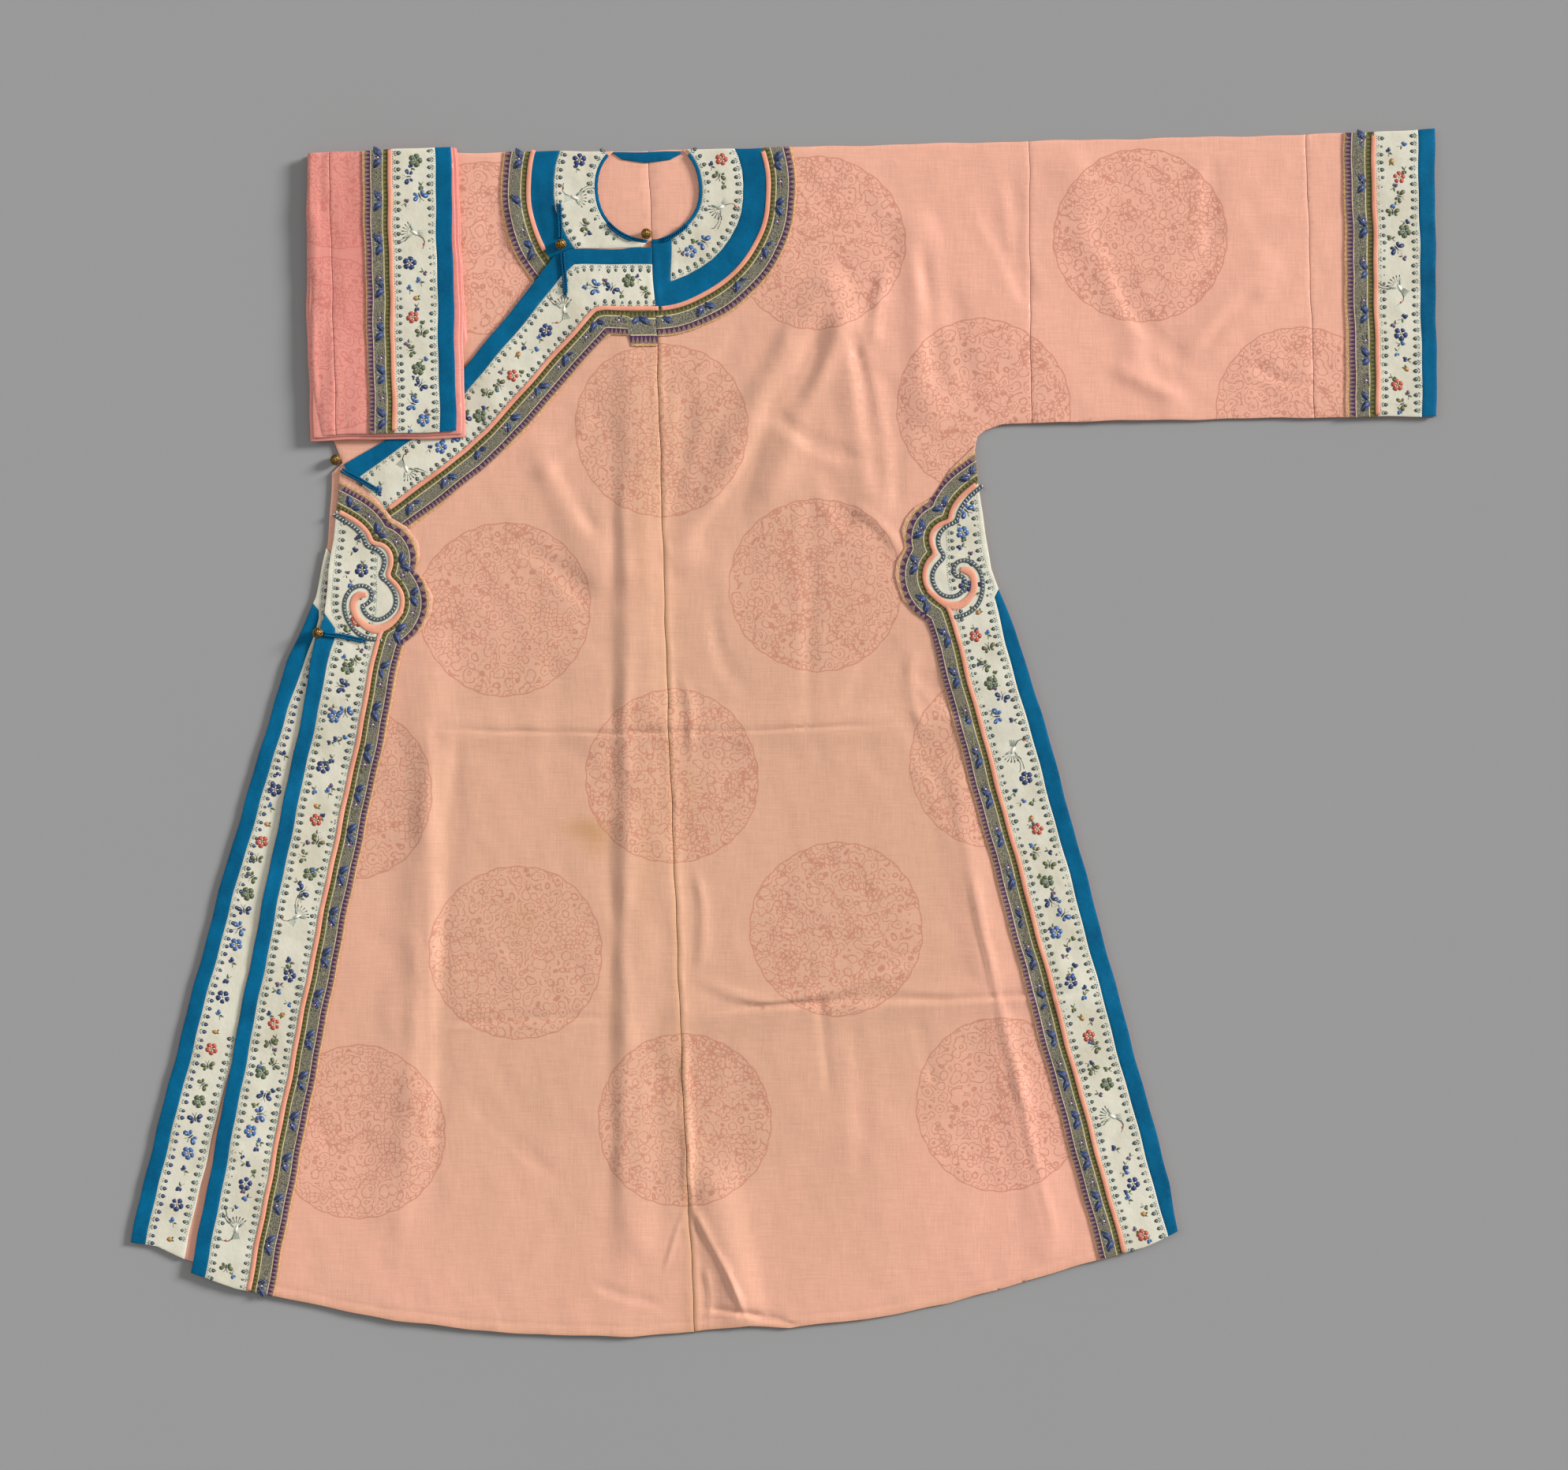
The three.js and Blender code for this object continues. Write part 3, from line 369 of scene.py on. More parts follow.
def hem_line(x, y):
    """The hollow where the turned-up hem is sewn."""
    away = np.full(x.shape, 99.0)
    low = y < -440
    away[low] = np.abs(segment_places(x[low], y[low], HEM)[0]) - HEM_TURN
    return -0.45 * np.exp(-(away / 1.8) ** 2)


def drape(x, y):
    """Broad, low waves of cloth that lies loosely."""
    wave = np.sin(x / 31 + 1.7 * np.sin(y / 57)) + np.sin(y / 43 + 1.3 * np.sin(x / 49 + 2))
    fine = np.sin(x / 11.3 + 1.9 * np.sin(y / 27 + 1)) * np.sin(y / 19 + 1.1 * np.sin(x / 14))
    crumple = np.sin(x / 6.1 + 2.3 * np.sin(y / 17 + x / 41)) * np.sin(y / 33 + 1.7 * np.sin(x / 23))
    return 0.38 * (wave + 2) + 0.22 * fine + 0.13 * crumple


def loose(x, y):
    """1 where the front lies open, 0 under the folded sleeve and at the shoulder fold."""
    under = ease((x + 290) / 22) + ease((262 - y) / 22)
    return np.clip(under, 0, 1) * ease((552 - y) / 25)


def edge_x(edge, y):
    """x of a side edge at y. The edge runs downwards."""
    return np.interp(y, [p[1] for p in edge][::-1], [p[0] for p in edge][::-1])


def front_form(x, y):
    """Height of the laid cloth over its level: never more than a quarter of a millimetre below it."""
    free = loose(x, y)
    lines = crease_height(x, y) + seam_roll(x, y) + hem_line(x, y)
    form = free * (drape(x, y) + lines) + fold_height(x, y)
    return np.where(form > 0, form, -0.25 * (1 - np.exp(form / 0.25)))


def left_front(x, y):
    return FRONT_LEVEL + front_form(x, y)


def underlap_front(x, y):
    open_part = np.where(y > 440, 1.0, 0.0)
    return FRONT_LEVEL + open_part * front_form(x, y) * ease((-130 - x) / 20)


def overlap_front(x, y):
    """The overlap lies on the underlap, and its free edge stands up a little from the underarm down."""
    past = x - np.interp(y, *UNDERLAP_INNER)
    share = np.clip((STEP_END - past) / (STEP_END - STEP_START), 0, 1)
    by_button = BUTTON_LIFT * np.exp(-((y - 97) / 16) ** 2)
    from_edge = np.clip(x - edge_x(OVERLAP_EDGE, y), 0, 200)
    along_edge = ease((244 - y) / 30) * ease((y + 420) / 400)
    lift = (EDGE_LIFT + by_button) * np.exp(-from_edge / 8) * along_edge
    return FRONT_LEVEL + share * (OVERLAP_LEVEL - FRONT_LEVEL) + front_form(x, y) + lift


def back_form(x, y):
    """The back's inner side, seen in the neck hole: a few soft waves."""
    inside = np.exp(-((x - NECK[0]) ** 2 + (y - NECK[1]) ** 2) / 45 ** 2)
    return inside * 0.25 * (1 + np.sin(x / 6.5 + 0.6 * np.sin(y / 17)))


def folded_top(x, y):
    """The folded sleeve's upper layer: it rolls over at its left fold and lies in soft upright pleats."""
    left = np.interp(y, [274, 325, 450, 536], [-431, -438, -441, -440])
    in_from_fold = np.clip(x - left, 0, 7) / 7
    roll = 5.0 * (1 - np.sqrt(1 - (1 - in_from_fold) ** 2 * 0.999))
    near_fold = np.exp(-np.clip(x - left, 0, 200) / 24)
    pleats = 0.9 * near_fold * np.sin(x / 3.9 + 1.5 * np.sin(y / 38) + 0.4 * np.sin(y / 11))
    pleats += 0.4 * np.exp(-np.clip(x - left, 0, 200) / 13) * np.sin(x / 1.15 + 1.2 * np.sin(y / 47))
    hollow = 0.8 * np.exp(-(((x + 418) / 17) ** 2 + ((y - 465) / 42) ** 2))
    ends = 1.2 * np.exp(-np.clip(y - 272, 0, 99) / 4) + 1.4 * np.exp(-np.clip(541 - y, 0, 99) / 4)
    waves = 0.35 * np.sin(y / 21 + x / 60) + 0.25 * np.sin(x / 13 + y / 47)
    return FOLDED_LEVEL - roll + pleats - hollow - ends + waves


def drift(points):
    """A hand's unevenness: every seam and edge wanders by up to about half a millimetre."""
    x, y = points[:, 0], points[:, 1]
    wander = points.copy()
    wander[:, 0] += 0.40 * np.sin(y / 17 + x / 90) + 0.25 * np.sin(y / 7.3 + x / 40)
    wander[:, 1] += 0.40 * np.sin(x / 19 + y / 80) + 0.25 * np.sin(x / 8.1 + y / 37)
    return wander


# Mesh making

def node_loops(name, above=None):
    """Outlines of a CAD node's upper faces, or of its lower faces where above is None."""
    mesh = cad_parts[name].data
    mesh.calc_loop_triangles()
    places = np.empty(len(mesh.vertices) * 3)
    mesh.vertices.foreach_get("co", places)
    places = places.reshape(-1, 3) / MM - SHIFT
    corners = np.empty(len(mesh.loop_triangles) * 3, int)
    mesh.loop_triangles.foreach_get("vertices", corners)
    triangles = corners.reshape(-1, 3)
    a, b, c = (places[triangles[:, k]] for k in range(3))
    normal = np.cross(b - a, c - a)
    up = normal[:, 2] / (np.linalg.norm(normal, axis=1) + 1e-12)
    height = (a + b + c)[:, 2] / 3
    chosen = (up < -0.5) & (height < 0.2) if above is None else (up > 0.5) & (height > above)
    keys = [tuple(k) for k in np.round(places[:, :2], 3)]
    following = {}
    for triangle in triangles[chosen]:
        ring = [keys[k] for k in triangle]
        for i in range(3):
            following.setdefault((ring[i], ring[(i + 1) % 3]), True)
    nexts = {}
    for first, second in following:
        if (second, first) not in following:
            nexts.setdefault(first, []).append(second)
    loops = []
    while nexts:
        start = next(iter(nexts))
        loop, here = [start], nexts[start].pop()
        while here != start and here in nexts:
            loop.append(here)
            onward = nexts[here].pop()
            if not nexts[here]:
                del nexts[here]
            here = onward
        if start in nexts and not nexts[start]:
            del nexts[start]
        points = np.array(loop)
        if len(points) > 2 and abs(signed_area(points)) > 4:
            loops.append(points if above is not None else points[::-1])
    return loops


def signed_area(points):
    x, y = points[:, 0], points[:, 1]
    return 0.5 * float(np.sum(x * np.roll(y, -1) - np.roll(x, -1) * y))


def moved_in(loop, distance):
    """A loop moved inwards along its corners' normals."""
    before, after = np.roll(loop, 1, 0), np.roll(loop, -1, 0)

    def inward(start, end):
        way = end - start
        way /= np.linalg.norm(way, axis=1)[:, None] + 1e-12
        return np.stack([-way[:, 1], way[:, 0]], 1)

    first, second = inward(before, loop), inward(loop, after)
    spread = np.maximum(0.3, 1 + np.sum(first * second, axis=1))
    return loop + (first + second) * distance / spread[:, None]


def resampled(loop, step):
    """A loop with points added, at most a step apart."""
    pieces = []
    for start, end in zip(loop, np.roll(loop, -1, 0)):
        count = max(1, int(math.ceil(np.linalg.norm(end - start) / step)))
        pieces.append(start + (end - start) * np.arange(count)[:, None] / count)
    return np.vstack(pieces)


def inside(points, loops):
    """True for the points inside an odd number of loops."""
    result = np.zeros(len(points), bool)
    for loop in loops:
        ends = np.roll(loop, -1, 0)
        for first in range(0, len(points), 4000):
            part = points[first:first + 4000]
            y = part[:, 1][:, None]
            spans = (loop[:, 1] > y) != (ends[:, 1] > y)
            rise = ends[:, 1] - loop[:, 1]
            slope = (ends[:, 0] - loop[:, 0]) / np.where(rise == 0, 1e-9, rise)
            crossing = part[:, 0][:, None] < loop[:, 0] + (y - loop[:, 1]) * slope
            result[first:first + 4000] ^= (np.sum(spans & crossing, axis=1) % 2).astype(bool)
    return result


def edge_distance(points, loops):
    """Distance of each point from the nearest edge of the loops."""
    best = np.full(len(points), 1e9)
    for loop in loops:
        ends = np.roll(loop, -1, 0)
        way = ends - loop
        square = np.sum(way ** 2, axis=1) + 1e-12
        for first in range(0, len(points), 2000):
            part = points[first:first + 2000]
            gone = part[:, None, :] - loop
            t = np.clip(np.sum(gone * way, axis=2) / square, 0, 1)
            away = np.linalg.norm(gone - t[..., None] * way, axis=2).min(axis=1)
            best[first:first + 2000] = np.minimum(best[first:first + 2000], away)
    return best


def crease_points(step):
    """Extra mesh points beside the narrow creases, so that these stay crisp."""
    lines = [(path, [width * share for share in (-1.4, -0.7, 0, 0.7, 1.4)])
             for path, _, width, _ in CREASES if width <= 8]
    lines.append((CENTRE_SEAM, (-6.5, -3.8, 1.8, 3.6, 5.8)))
    lines.append((HEM, (-HEM_TURN + 1.8, -HEM_TURN, -HEM_TURN - 1.8)))
    rows = []
    for path, offsets in lines:
        line = smooth_path(path, step)
        rows += [line + path_normals(line) * offset for offset in offsets]
    return np.vstack(rows)


def nearest_distance(points, others):
    """Distance of each point from the nearest of the others."""
    tree = kdtree.KDTree(len(others))
    for index, (x, y) in enumerate(others):
        tree.insert((x, y, 0), index)
    tree.balance()
    return np.array([tree.find((x, y, 0))[2] for x, y in points])


def sheet_mesh(loops, surface, lift, thickness, step, extra=None):
    """A closed thin sheet with soft edges: points in millimetres and faces."""
    loops = [resampled(loop, step) for loop in loops]
    half = thickness / 2
    rings = [moved_in(loop, half * share) for loop in loops for share in (0.3, 1.0)]
    ring_points = np.vstack(rings)
    ring_points = ring_points[inside(ring_points, loops)]
    ring_points = ring_points[edge_distance(ring_points, loops) > 0.2 * half]
    edge_points = np.vstack(loops)
    low, high = edge_points.min(0), edge_points.max(0)
    rows = np.arange(low[1], high[1], step * 0.866)
    columns = np.arange(low[0] - step, high[0], step)
    grid_y, grid_x = np.meshgrid(rows, columns, indexing="ij")
    grid_x = grid_x + (np.arange(len(rows)) % 2)[:, None] * step / 2
    grid = np.stack([grid_x.ravel(), grid_y.ravel()], 1)
    if extra is not None:
        far = nearest_distance(grid, extra) > 0.6 * step
        grid = np.vstack([grid[far], extra])
    grid = grid[inside(grid, loops)]
    if len(grid):
        away = nearest_distance(grid, edge_points)
        close = away < 1.5 * step + half
        clear = away > 0.6 * step
        clear[close] &= edge_distance(grid[close], loops) > half + 0.35 * step
        grid = grid[clear]
    points = np.vstack([edge_points, ring_points, grid])
    edges, start = [], 0
    for loop in loops:
        count = len(loop)
        edges += [(start + k, start + (k + 1) % count) for k in range(count)]
        start += count
    made = geometry.delaunay_2d_cdt([Vector(p) for p in points], edges, [], 0, 1e-6)
    flat = np.array([(v.x, v.y) for v in made[0]])
    faces = np.array([f for f in made[2] if len(f) == 3])
    middles = flat[faces].mean(axis=1)
    faces = faces[inside(middles, loops)]
    a, b, c = (flat[faces[:, k]] for k in range(3))
    twice = (b[:, 0] - a[:, 0]) * (c[:, 1] - a[:, 1]) - (b[:, 1] - a[:, 1]) * (c[:, 0] - a[:, 0])
    faces = faces[np.abs(twice) > 1e-6]
    twice = twice[np.abs(twice) > 1e-6]
    faces[twice < 0] = faces[twice < 0][:, ::-1]
    used, faces = np.unique(faces, return_inverse=True)
    flat, faces = flat[used], faces.reshape(-1, 3)
    near_edge = nearest_distance(flat, edge_points) < step + half
    depth = np.full(len(flat), 1e3)
    depth[near_edge] = edge_distance(flat[near_edge], loops)
    rounding = half * np.sqrt(1 - (1 - np.clip(depth / half, 0, 1)) ** 2)
    middle = surface(flat[:, 0], flat[:, 1]) + lift + half
    on_edge = depth < 1e-3
    top = np.column_stack([flat, middle + rounding])
    inner = np.flatnonzero(~on_edge)
    bottom = np.column_stack([flat[inner], middle[inner] - rounding[inner]])
    below = np.arange(len(flat))
    below[inner] = len(flat) + np.arange(len(inner))
    return np.vstack([top, bottom]), np.vstack([faces, below[faces][:, ::-1]])


def joined(parts):
    """Several meshes as one."""
    faces, start = [], 0
    for points, some_faces in parts:
        faces += [tuple(int(k) + start for k in face) for face in some_faces]
        start += len(points)
    return np.vstack([points for points, _ in parts]), faces


def placed(points):
    """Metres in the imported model's frame from millimetres in the tables' frame."""
    return (drift(np.asarray(points, float)) + SHIFT) * MM


def add_object(name, data):
    made = bpy.data.objects.new(name, data)
    bpy.context.scene.collection.objects.link(made)
    return made


def add_piece(name, points, faces, material, uv=None, slots=None):
    """A mesh object from points in millimetres. slots gives each face's place in a list of materials."""
    mesh = bpy.data.meshes.new(name)
    mesh.from_pydata(placed(points).tolist(), [], [tuple(int(k) for k in face) for face in faces])
    for one in material if isinstance(material, list) else [material]:
        mesh.materials.append(one)
    if slots is not None:
        mesh.polygons.foreach_set("material_index", slots)
    mesh.shade_smooth()
    if uv is not None:
        corners = np.empty(len(mesh.loops), int)
        mesh.loops.foreach_get("vertex_index", corners)
        layer = mesh.uv_layers.new(name="UVMap")
        layer.data.foreach_set("uv", np.asarray(uv, float)[corners].ravel())
    piece = add_object(name, mesh)
    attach(piece, "root")
    return piece


def set_value(piece, name, values):
    attribute = piece.data.attributes.new(name, "FLOAT", "POINT")
    attribute.data.foreach_set("value", np.asarray(values, float))


# Materials

def look(name, colour, roughness, specular=0.4, sheen=0.0, metallic=0.0, sheen_colour=(1, 1, 1, 1)):
    material = bpy.data.materials.new(name)
    material.use_nodes = True
    shader = material.node_tree.nodes["Principled BSDF"]
    shader.inputs["Base Color"].default_value = (*linear(colour), 1)
    shader.inputs["Roughness"].default_value = roughness
    shader.inputs["Specular IOR Level"].default_value = specular
    shader.inputs["Sheen Weight"].default_value = sheen
    shader.inputs["Sheen Roughness"].default_value = 0.4
    shader.inputs["Sheen Tint"].default_value = sheen_colour
    shader.inputs["Metallic"].default_value = metallic
    return material, material.node_tree, shader


def linear(colour):
    return tuple(((c / 255 + 0.055) / 1.055) ** 2.4 if c > 10 else c / 255 / 12.92 for c in colour)


def node(tree, kind, inputs=None, **settings):
    made = tree.nodes.new(kind)
    for key, value in settings.items():
        setattr(made, key, value)
    for key, value in (inputs or {}).items():
        if isinstance(value, bpy.types.NodeSocket):
            tree.links.new(value, made.inputs[key])
        else:
            made.inputs[key].default_value = value
    return made


def maths(tree, operation, *values, clamp=False):
    made = node(tree, "ShaderNodeMath", dict(enumerate(values)), operation=operation, use_clamp=clamp)
    return made.outputs[0]


def times(tree, first, second):
    return maths(tree, "MULTIPLY", first, second)


def plus(tree, first, second):
    return maths(tree, "ADD", first, second)


def minus(tree, first, second):
    return maths(tree, "SUBTRACT", first, second)


def shaded(tree, shader, colour, shade):
    """A colour times a shade, as the base colour."""
    final = node(tree, "ShaderNodeVectorMath", {0: colour, 1: shade}, operation="MULTIPLY").outputs[0]
    tree.links.new(final, shader.inputs["Base Color"])


def painted(tree, name):
    return node(tree, "ShaderNodeAttribute", attribute_name=name).outputs["Fac"]


def between(tree, value, low, high):
    """0 below low and 1 above high, eased."""
    made = node(tree, "ShaderNodeMapRange", {0: value, 1: low, 2: high}, interpolation_type="SMOOTHSTEP")
    return made.outputs[0]


def blend(tree, factor, first, second):
    made = tree.nodes.new("ShaderNodeMix")
    made.data_type = "RGBA"
    for index, value in ((0, factor), (6, first), (7, second)):
        if isinstance(value, bpy.types.NodeSocket):
            tree.links.new(value, made.inputs[index])
        elif index == 0:
            made.inputs[index].default_value = value
        else:
            made.inputs[index].default_value = (*linear(value), 1)
    return made.outputs[2]


def here(tree, scale=(1, 1, 1)):
    """Object coordinates times a scale, in metres."""
    place = node(tree, "ShaderNodeTexCoord").outputs["Object"]
    return node(tree, "ShaderNodeMapping", {0: place, 3: scale}).outputs[0]


def noise(tree, place, scale, detail=2.0, roughness=0.5, distortion=0.0):
    made = node(tree, "ShaderNodeTexNoise", {"Vector": place, "Scale": scale, "Detail": detail,
                                             "Roughness": roughness, "Distortion": distortion})
    return made.outputs[0]


def bump(tree, shader, height, distance, strength=1.0, before=None):
    inputs = {"Height": height, "Distance": distance, "Strength": strength}
    if before is not None:
        inputs["Normal"] = before
    made = node(tree, "ShaderNodeBump", inputs)
    tree.links.new(made.outputs[0], shader.inputs["Normal"])
    return made.outputs[0]


def make_silk(name, pink, faded, figure):
    """Damask silk: threads both ways, roundels drawn in darker lines, fading, stains, and painted shade along
    the centre seam and the hem.
    """
    material, tree, shader = look(name, pink, 0.42, specular=0.35, sheen=0.12,
                                  sheen_colour=(1.0, 0.85, 0.78, 1))
    place = here(tree)
    cloudy = times(tree, minus(tree, noise(tree, place, 9, 3), 0.5), 0.9)
    fade = maths(tree, "ADD", painted(tree, "fade"), cloudy, clamp=True)
    # The stain colour also carries painted shade along the centre seam and the hem's turned edge.
    base = blend(tree, painted(tree, "stain_and_painted_shade"), blend(tree, fade, pink, faded), (196, 148, 100))
    across = noise(tree, here(tree, (45, 2600, 1)), 1.0, 2, 0.6)
    along = noise(tree, here(tree, (2600, 45, 1)), 1.0, 2, 0.6)
    slubs = plus(tree, noise(tree, here(tree, (26, 760, 1)), 1.0, 3, 0.7),
                 noise(tree, here(tree, (760, 30, 1)), 1.0, 3, 0.7))
    threads = plus(tree, across, along)
    shade = maths(tree, "MULTIPLY_ADD", minus(tree, threads, 1.0), 0.30, 1.0)
    shade = plus(tree, shade, times(tree, minus(tree, slubs, 1.0), 0.26))
    depth = painted(tree, "roundel")
    in_roundel = between(tree, depth, 0.0, 0.5)

    # Curls are rings round scattered places, about 3 mm apart, on a ground that is stirred
    stir = node(tree, "ShaderNodeTexNoise", {"Vector": place, "Scale": 62, "Detail": 1.0}).outputs[1]
    stirred = node(tree, "ShaderNodeVectorMath", {0: stir, 1: (0.009, 0.009, 0.0), 2: place},
                   operation="MULTIPLY_ADD").outputs[0]
    curls = node(tree, "ShaderNodeTexVoronoi", {"Vector": stirred, "Scale": 108,
                                                "Randomness": 1.0}).outputs[0]
    rings = maths(tree, "PINGPONG", curls, 0.166)
    scroll = between(tree, rings, 0.112, 0.142)
    cells = node(tree, "ShaderNodeTexVoronoi", {"Vector": stirred, "Scale": 240, "Randomness": 0.75},
                 feature="DISTANCE_TO_EDGE").outputs[0]
    scales = minus(tree, 1.0, between(tree, cells, 0.05, 0.13))

    # Scales fill winding bodies, and curls the ground between them
    body = maths(tree, "ABSOLUTE", minus(tree, noise(tree, place, 21, 0.0, 0.5, 1.0), 0.5))
    on_body = minus(tree, 1.0, between(tree, body, 0.045, 0.055))
    figure_lines = node(tree, "ShaderNodeMix", {0: on_body, 2: scroll, 3: scales}).outputs[0]
    from_rim = maths(tree, "ABSOLUTE", minus(tree, depth, 1.0))
    rim = minus(tree, 1.0, between(tree, from_rim, 0.35, 0.75))
    lines = times(tree, maths(tree, "MAXIMUM", figure_lines, rim), in_roundel)
    shaded(tree, shader, blend(tree, times(tree, lines, 0.55), base, figure), shade)
    matt = maths(tree, "MULTIPLY_ADD", lines, 0.14, 0.40)
    tree.links.new(plus(tree, matt, times(tree, across, 0.06)), shader.inputs["Roughness"])
    height = plus(tree, times(tree, threads, 0.5), times(tree, lines, -0.35))
    first = bump(tree, shader, height, 0.00012, 0.5)
    bump(tree, shader, noise(tree, place, 60, 3, 0.55), 0.0012, 0.35, before=first)
    return material


def make_plain_silk(name, colour, dark, rib, rib_depth, gloss):
    """Corded silk of the blue bands and the cords, with its ribs across and soft wear."""
    material, tree, shader = look(name, colour, gloss, specular=0.08)
    place = here(tree)
    worn = noise(tree, place, 26, 4, 0.6)
    streak = noise(tree, here(tree, (300, 900, 1)), 1.0, 2, 0.6)
    worn = times(tree, minus(tree, worn, 0.5), 2.4)
    amount = maths(tree, "MULTIPLY_ADD", streak, 0.9, worn, clamp=True)
    tree.links.new(blend(tree, amount, colour, dark), shader.inputs["Base Color"])
    ribs = node(tree, "ShaderNodeTexWave", {"Vector": place, "Scale": rib, "Distortion": 0.6,
                                            "Detail": 1.0}, bands_direction="DIAGONAL").outputs[1]
    first = bump(tree, shader, ribs, rib_depth, 0.4)
    bump(tree, shader, noise(tree, place, 110, 3, 0.6), 0.0009, 0.5, before=first)
    return material


def make_cream():
    """Cream satin under the embroidery, ribbed lengthwise and a little soiled."""
    material, tree, shader = look("cream satin", (222, 218, 198), 0.5, specular=0.4, sheen=0.15)
    place = here(tree)
    soil = between(tree, noise(tree, place, 22, 4, 0.6), 0.35, 0.8)
    base = blend(tree, soil, (221, 217, 198), (204, 196, 172))
    streak = noise(tree, here(tree, (1500, 120, 1)), 1.0, 2, 0.6)
    shaded(tree, shader, base, maths(tree, "MULTIPLY_ADD", minus(tree, streak, 0.5), 0.14, 1.0))
    bump(tree, shader, noise(tree, place, 160, 3, 0.6), 0.0007, 0.5)
    return material


def make_ribbon():
    """Woven ribbon, by millimetres across it from the piping outwards (UV y) and along it (UV x)."""
    material, tree, shader = look("woven ribbon", (140, 136, 118), 0.62, specular=0.3)
    uv = node(tree, "ShaderNodeSeparateXYZ", {0: node(tree, "ShaderNodeTexCoord").outputs["UV"]})
    u, v = uv.outputs[0], uv.outputs[1]
    place = here(tree)
    speck = noise(tree, place, 1500, 1, 0.6)
    coarse = noise(tree, place, 420, 2, 0.6)

    def band(low, high):
        return times(tree, maths(tree, "GREATER_THAN", v, low), maths(tree, "LESS_THAN", v, high))

    def teeth(low, high, pitch):
        """Triangles standing on the low side of a band."""
        run = maths(tree, "PINGPONG", maths(tree, "DIVIDE", u, pitch), 0.5)
        top = maths(tree, "MULTIPLY_ADD", run, 2.0 * (high - low), low)
        return times(tree, maths(tree, "LESS_THAN", v, top), band(low, high))

    ground = blend(tree, between(tree, speck, 0.42, 0.58), (76, 72, 58), (142, 136, 116))
    colour = blend(tree, band(-3.0, 6.4), ground, (112, 102, 52))
    colour = blend(tree, teeth(2.0, 6.2, 3.9), colour, (64, 66, 34))
    colour = blend(tree, band(6.4, 7.2), colour, (206, 198, 160))
    colour = blend(tree, band(17.2, 17.9), colour, (206, 190, 150))
    colour = blend(tree, band(17.9, 23.4), colour, (136, 112, 100))
    colour = blend(tree, teeth(18.0, 23.4, 3.9), colour, (76, 40, 78))
    wave = times(tree, maths(tree, "SINE", times(tree, u, 2 * math.pi / 5.2)), 0.7)
    scallop = maths(tree, "ABSOLUTE", minus(tree, minus(tree, v, 24.0), wave))
    colour = blend(tree, maths(tree, "GREATER_THAN", v, 23.4), colour, (222, 168, 140))
    colour = blend(tree, between(tree, scallop, 0.65, 0.35), colour, (190, 150, 70))
    specks = plus(tree, speck, coarse)
    shaded(tree, shader, colour, maths(tree, "MULTIPLY_ADD", minus(tree, specks, 1.0), 0.9, 1.0))
    bump(tree, shader, specks, 0.0004, 0.7)
    return material


def make_thread(name, colour, dark, gloss=0.45):
    """Embroidery floss: fine satin stitches, a little uneven in colour."""
    material, tree, shader = look(name, colour, gloss, specular=0.5, sheen=0.2)
    place = here(tree)
    stitch = noise(tree, here(tree, (700, 2100, 1)), 1.0, 2, 0.6)
    tree.links.new(blend(tree, between(tree, stitch, 0.35, 0.7), colour, dark), shader.inputs["Base Color"])
    bump(tree, shader, noise(tree, place, 1600, 2, 0.6), 0.0003, 0.7)
    return material


def make_gilt():
    """Old gilt brass, mottled at random between darker and rubbed brighter gold."""
    material, tree, shader = look("gilt brass", (150, 116, 60), 0.38, specular=0.5, metallic=1.0)
    place = here(tree)
    worn = noise(tree, place, 700, 3, 0.6)
    tree.links.new(blend(tree, between(tree, worn, 0.35, 0.65), (92, 68, 38), (186, 150, 88)),
                   shader.inputs["Base Color"])
    tree.links.new(maths(tree, "MULTIPLY_ADD", worn, 0.3, 0.25), shader.inputs["Roughness"])
    bump(tree, shader, worn, 0.0003, 0.6)
    return material


silk_look = make_silk("pink damask silk", (236, 174, 150), (219, 168, 140), (184, 106, 84))
folded_look = make_silk("pink damask silk of the folded sleeve", (218, 136, 124), (242, 168, 152),
                        (200, 104, 92))
piping_look = make_plain_silk("pink silk piping", (238, 168, 140), (222, 146, 120), 800, 0.0002, 0.4)
blue_look = make_plain_silk("corded blue silk", (0, 104, 146), (0, 80, 116), 520, 0.0003, 0.5)
cord_look = make_plain_silk("blue silk cord", (0, 98, 138), (4, 70, 108), 900, 0.0004, 0.5)
cream_look = make_cream()
ribbon_look = make_ribbon()
gilt_look = make_gilt()
FLOSS = {
    "navy": make_thread("navy floss", (38, 62, 118), (24, 38, 84)),
    "blue": make_thread("blue floss", (72, 118, 176), (40, 78, 140)),
    "pale": make_thread("pale blue floss", (160, 184, 188), (128, 154, 164)),
    "green": make_thread("green floss", (104, 116, 74), (66, 82, 50)),
    "teal": make_thread("teal floss", (70, 112, 118), (44, 80, 92)),
    "slate": make_thread("slate floss", (84, 98, 92), (56, 68, 70)),
    "sage": make_thread("sage floss", (158, 172, 154), (130, 148, 136)),
    "red": make_thread("orange red floss", (206, 92, 62), (168, 60, 44)),
    "white": make_thread("white floss", (236, 234, 224), (214, 210, 196)),
    "black": make_thread("black floss", (44, 42, 46), (28, 26, 30)),
    "purple": make_thread("purple floss", (112, 84, 118), (82, 58, 90)),
    "gold": make_thread("gold floss", (196, 158, 84), (160, 120, 58)),
}


# Silk panels

def roundel_depth(x, y):
    """How far inside the nearest roundel's scalloped rim a place is."""
    depth = np.full(x.shape, OUTSIDE)
    for cx, cy in ROUNDELS:
        dx, dy = x - cx, y - cy
        turn = np.arctan2(dy, dx)
        rim = ROUNDEL_RADIUS + 1.3 * np.abs(np.sin(13 * turn)) + 0.8 * np.sin(3 * turn + cx)
        depth = np.maximum(depth, rim - np.hypot(dx, dy))
    return depth


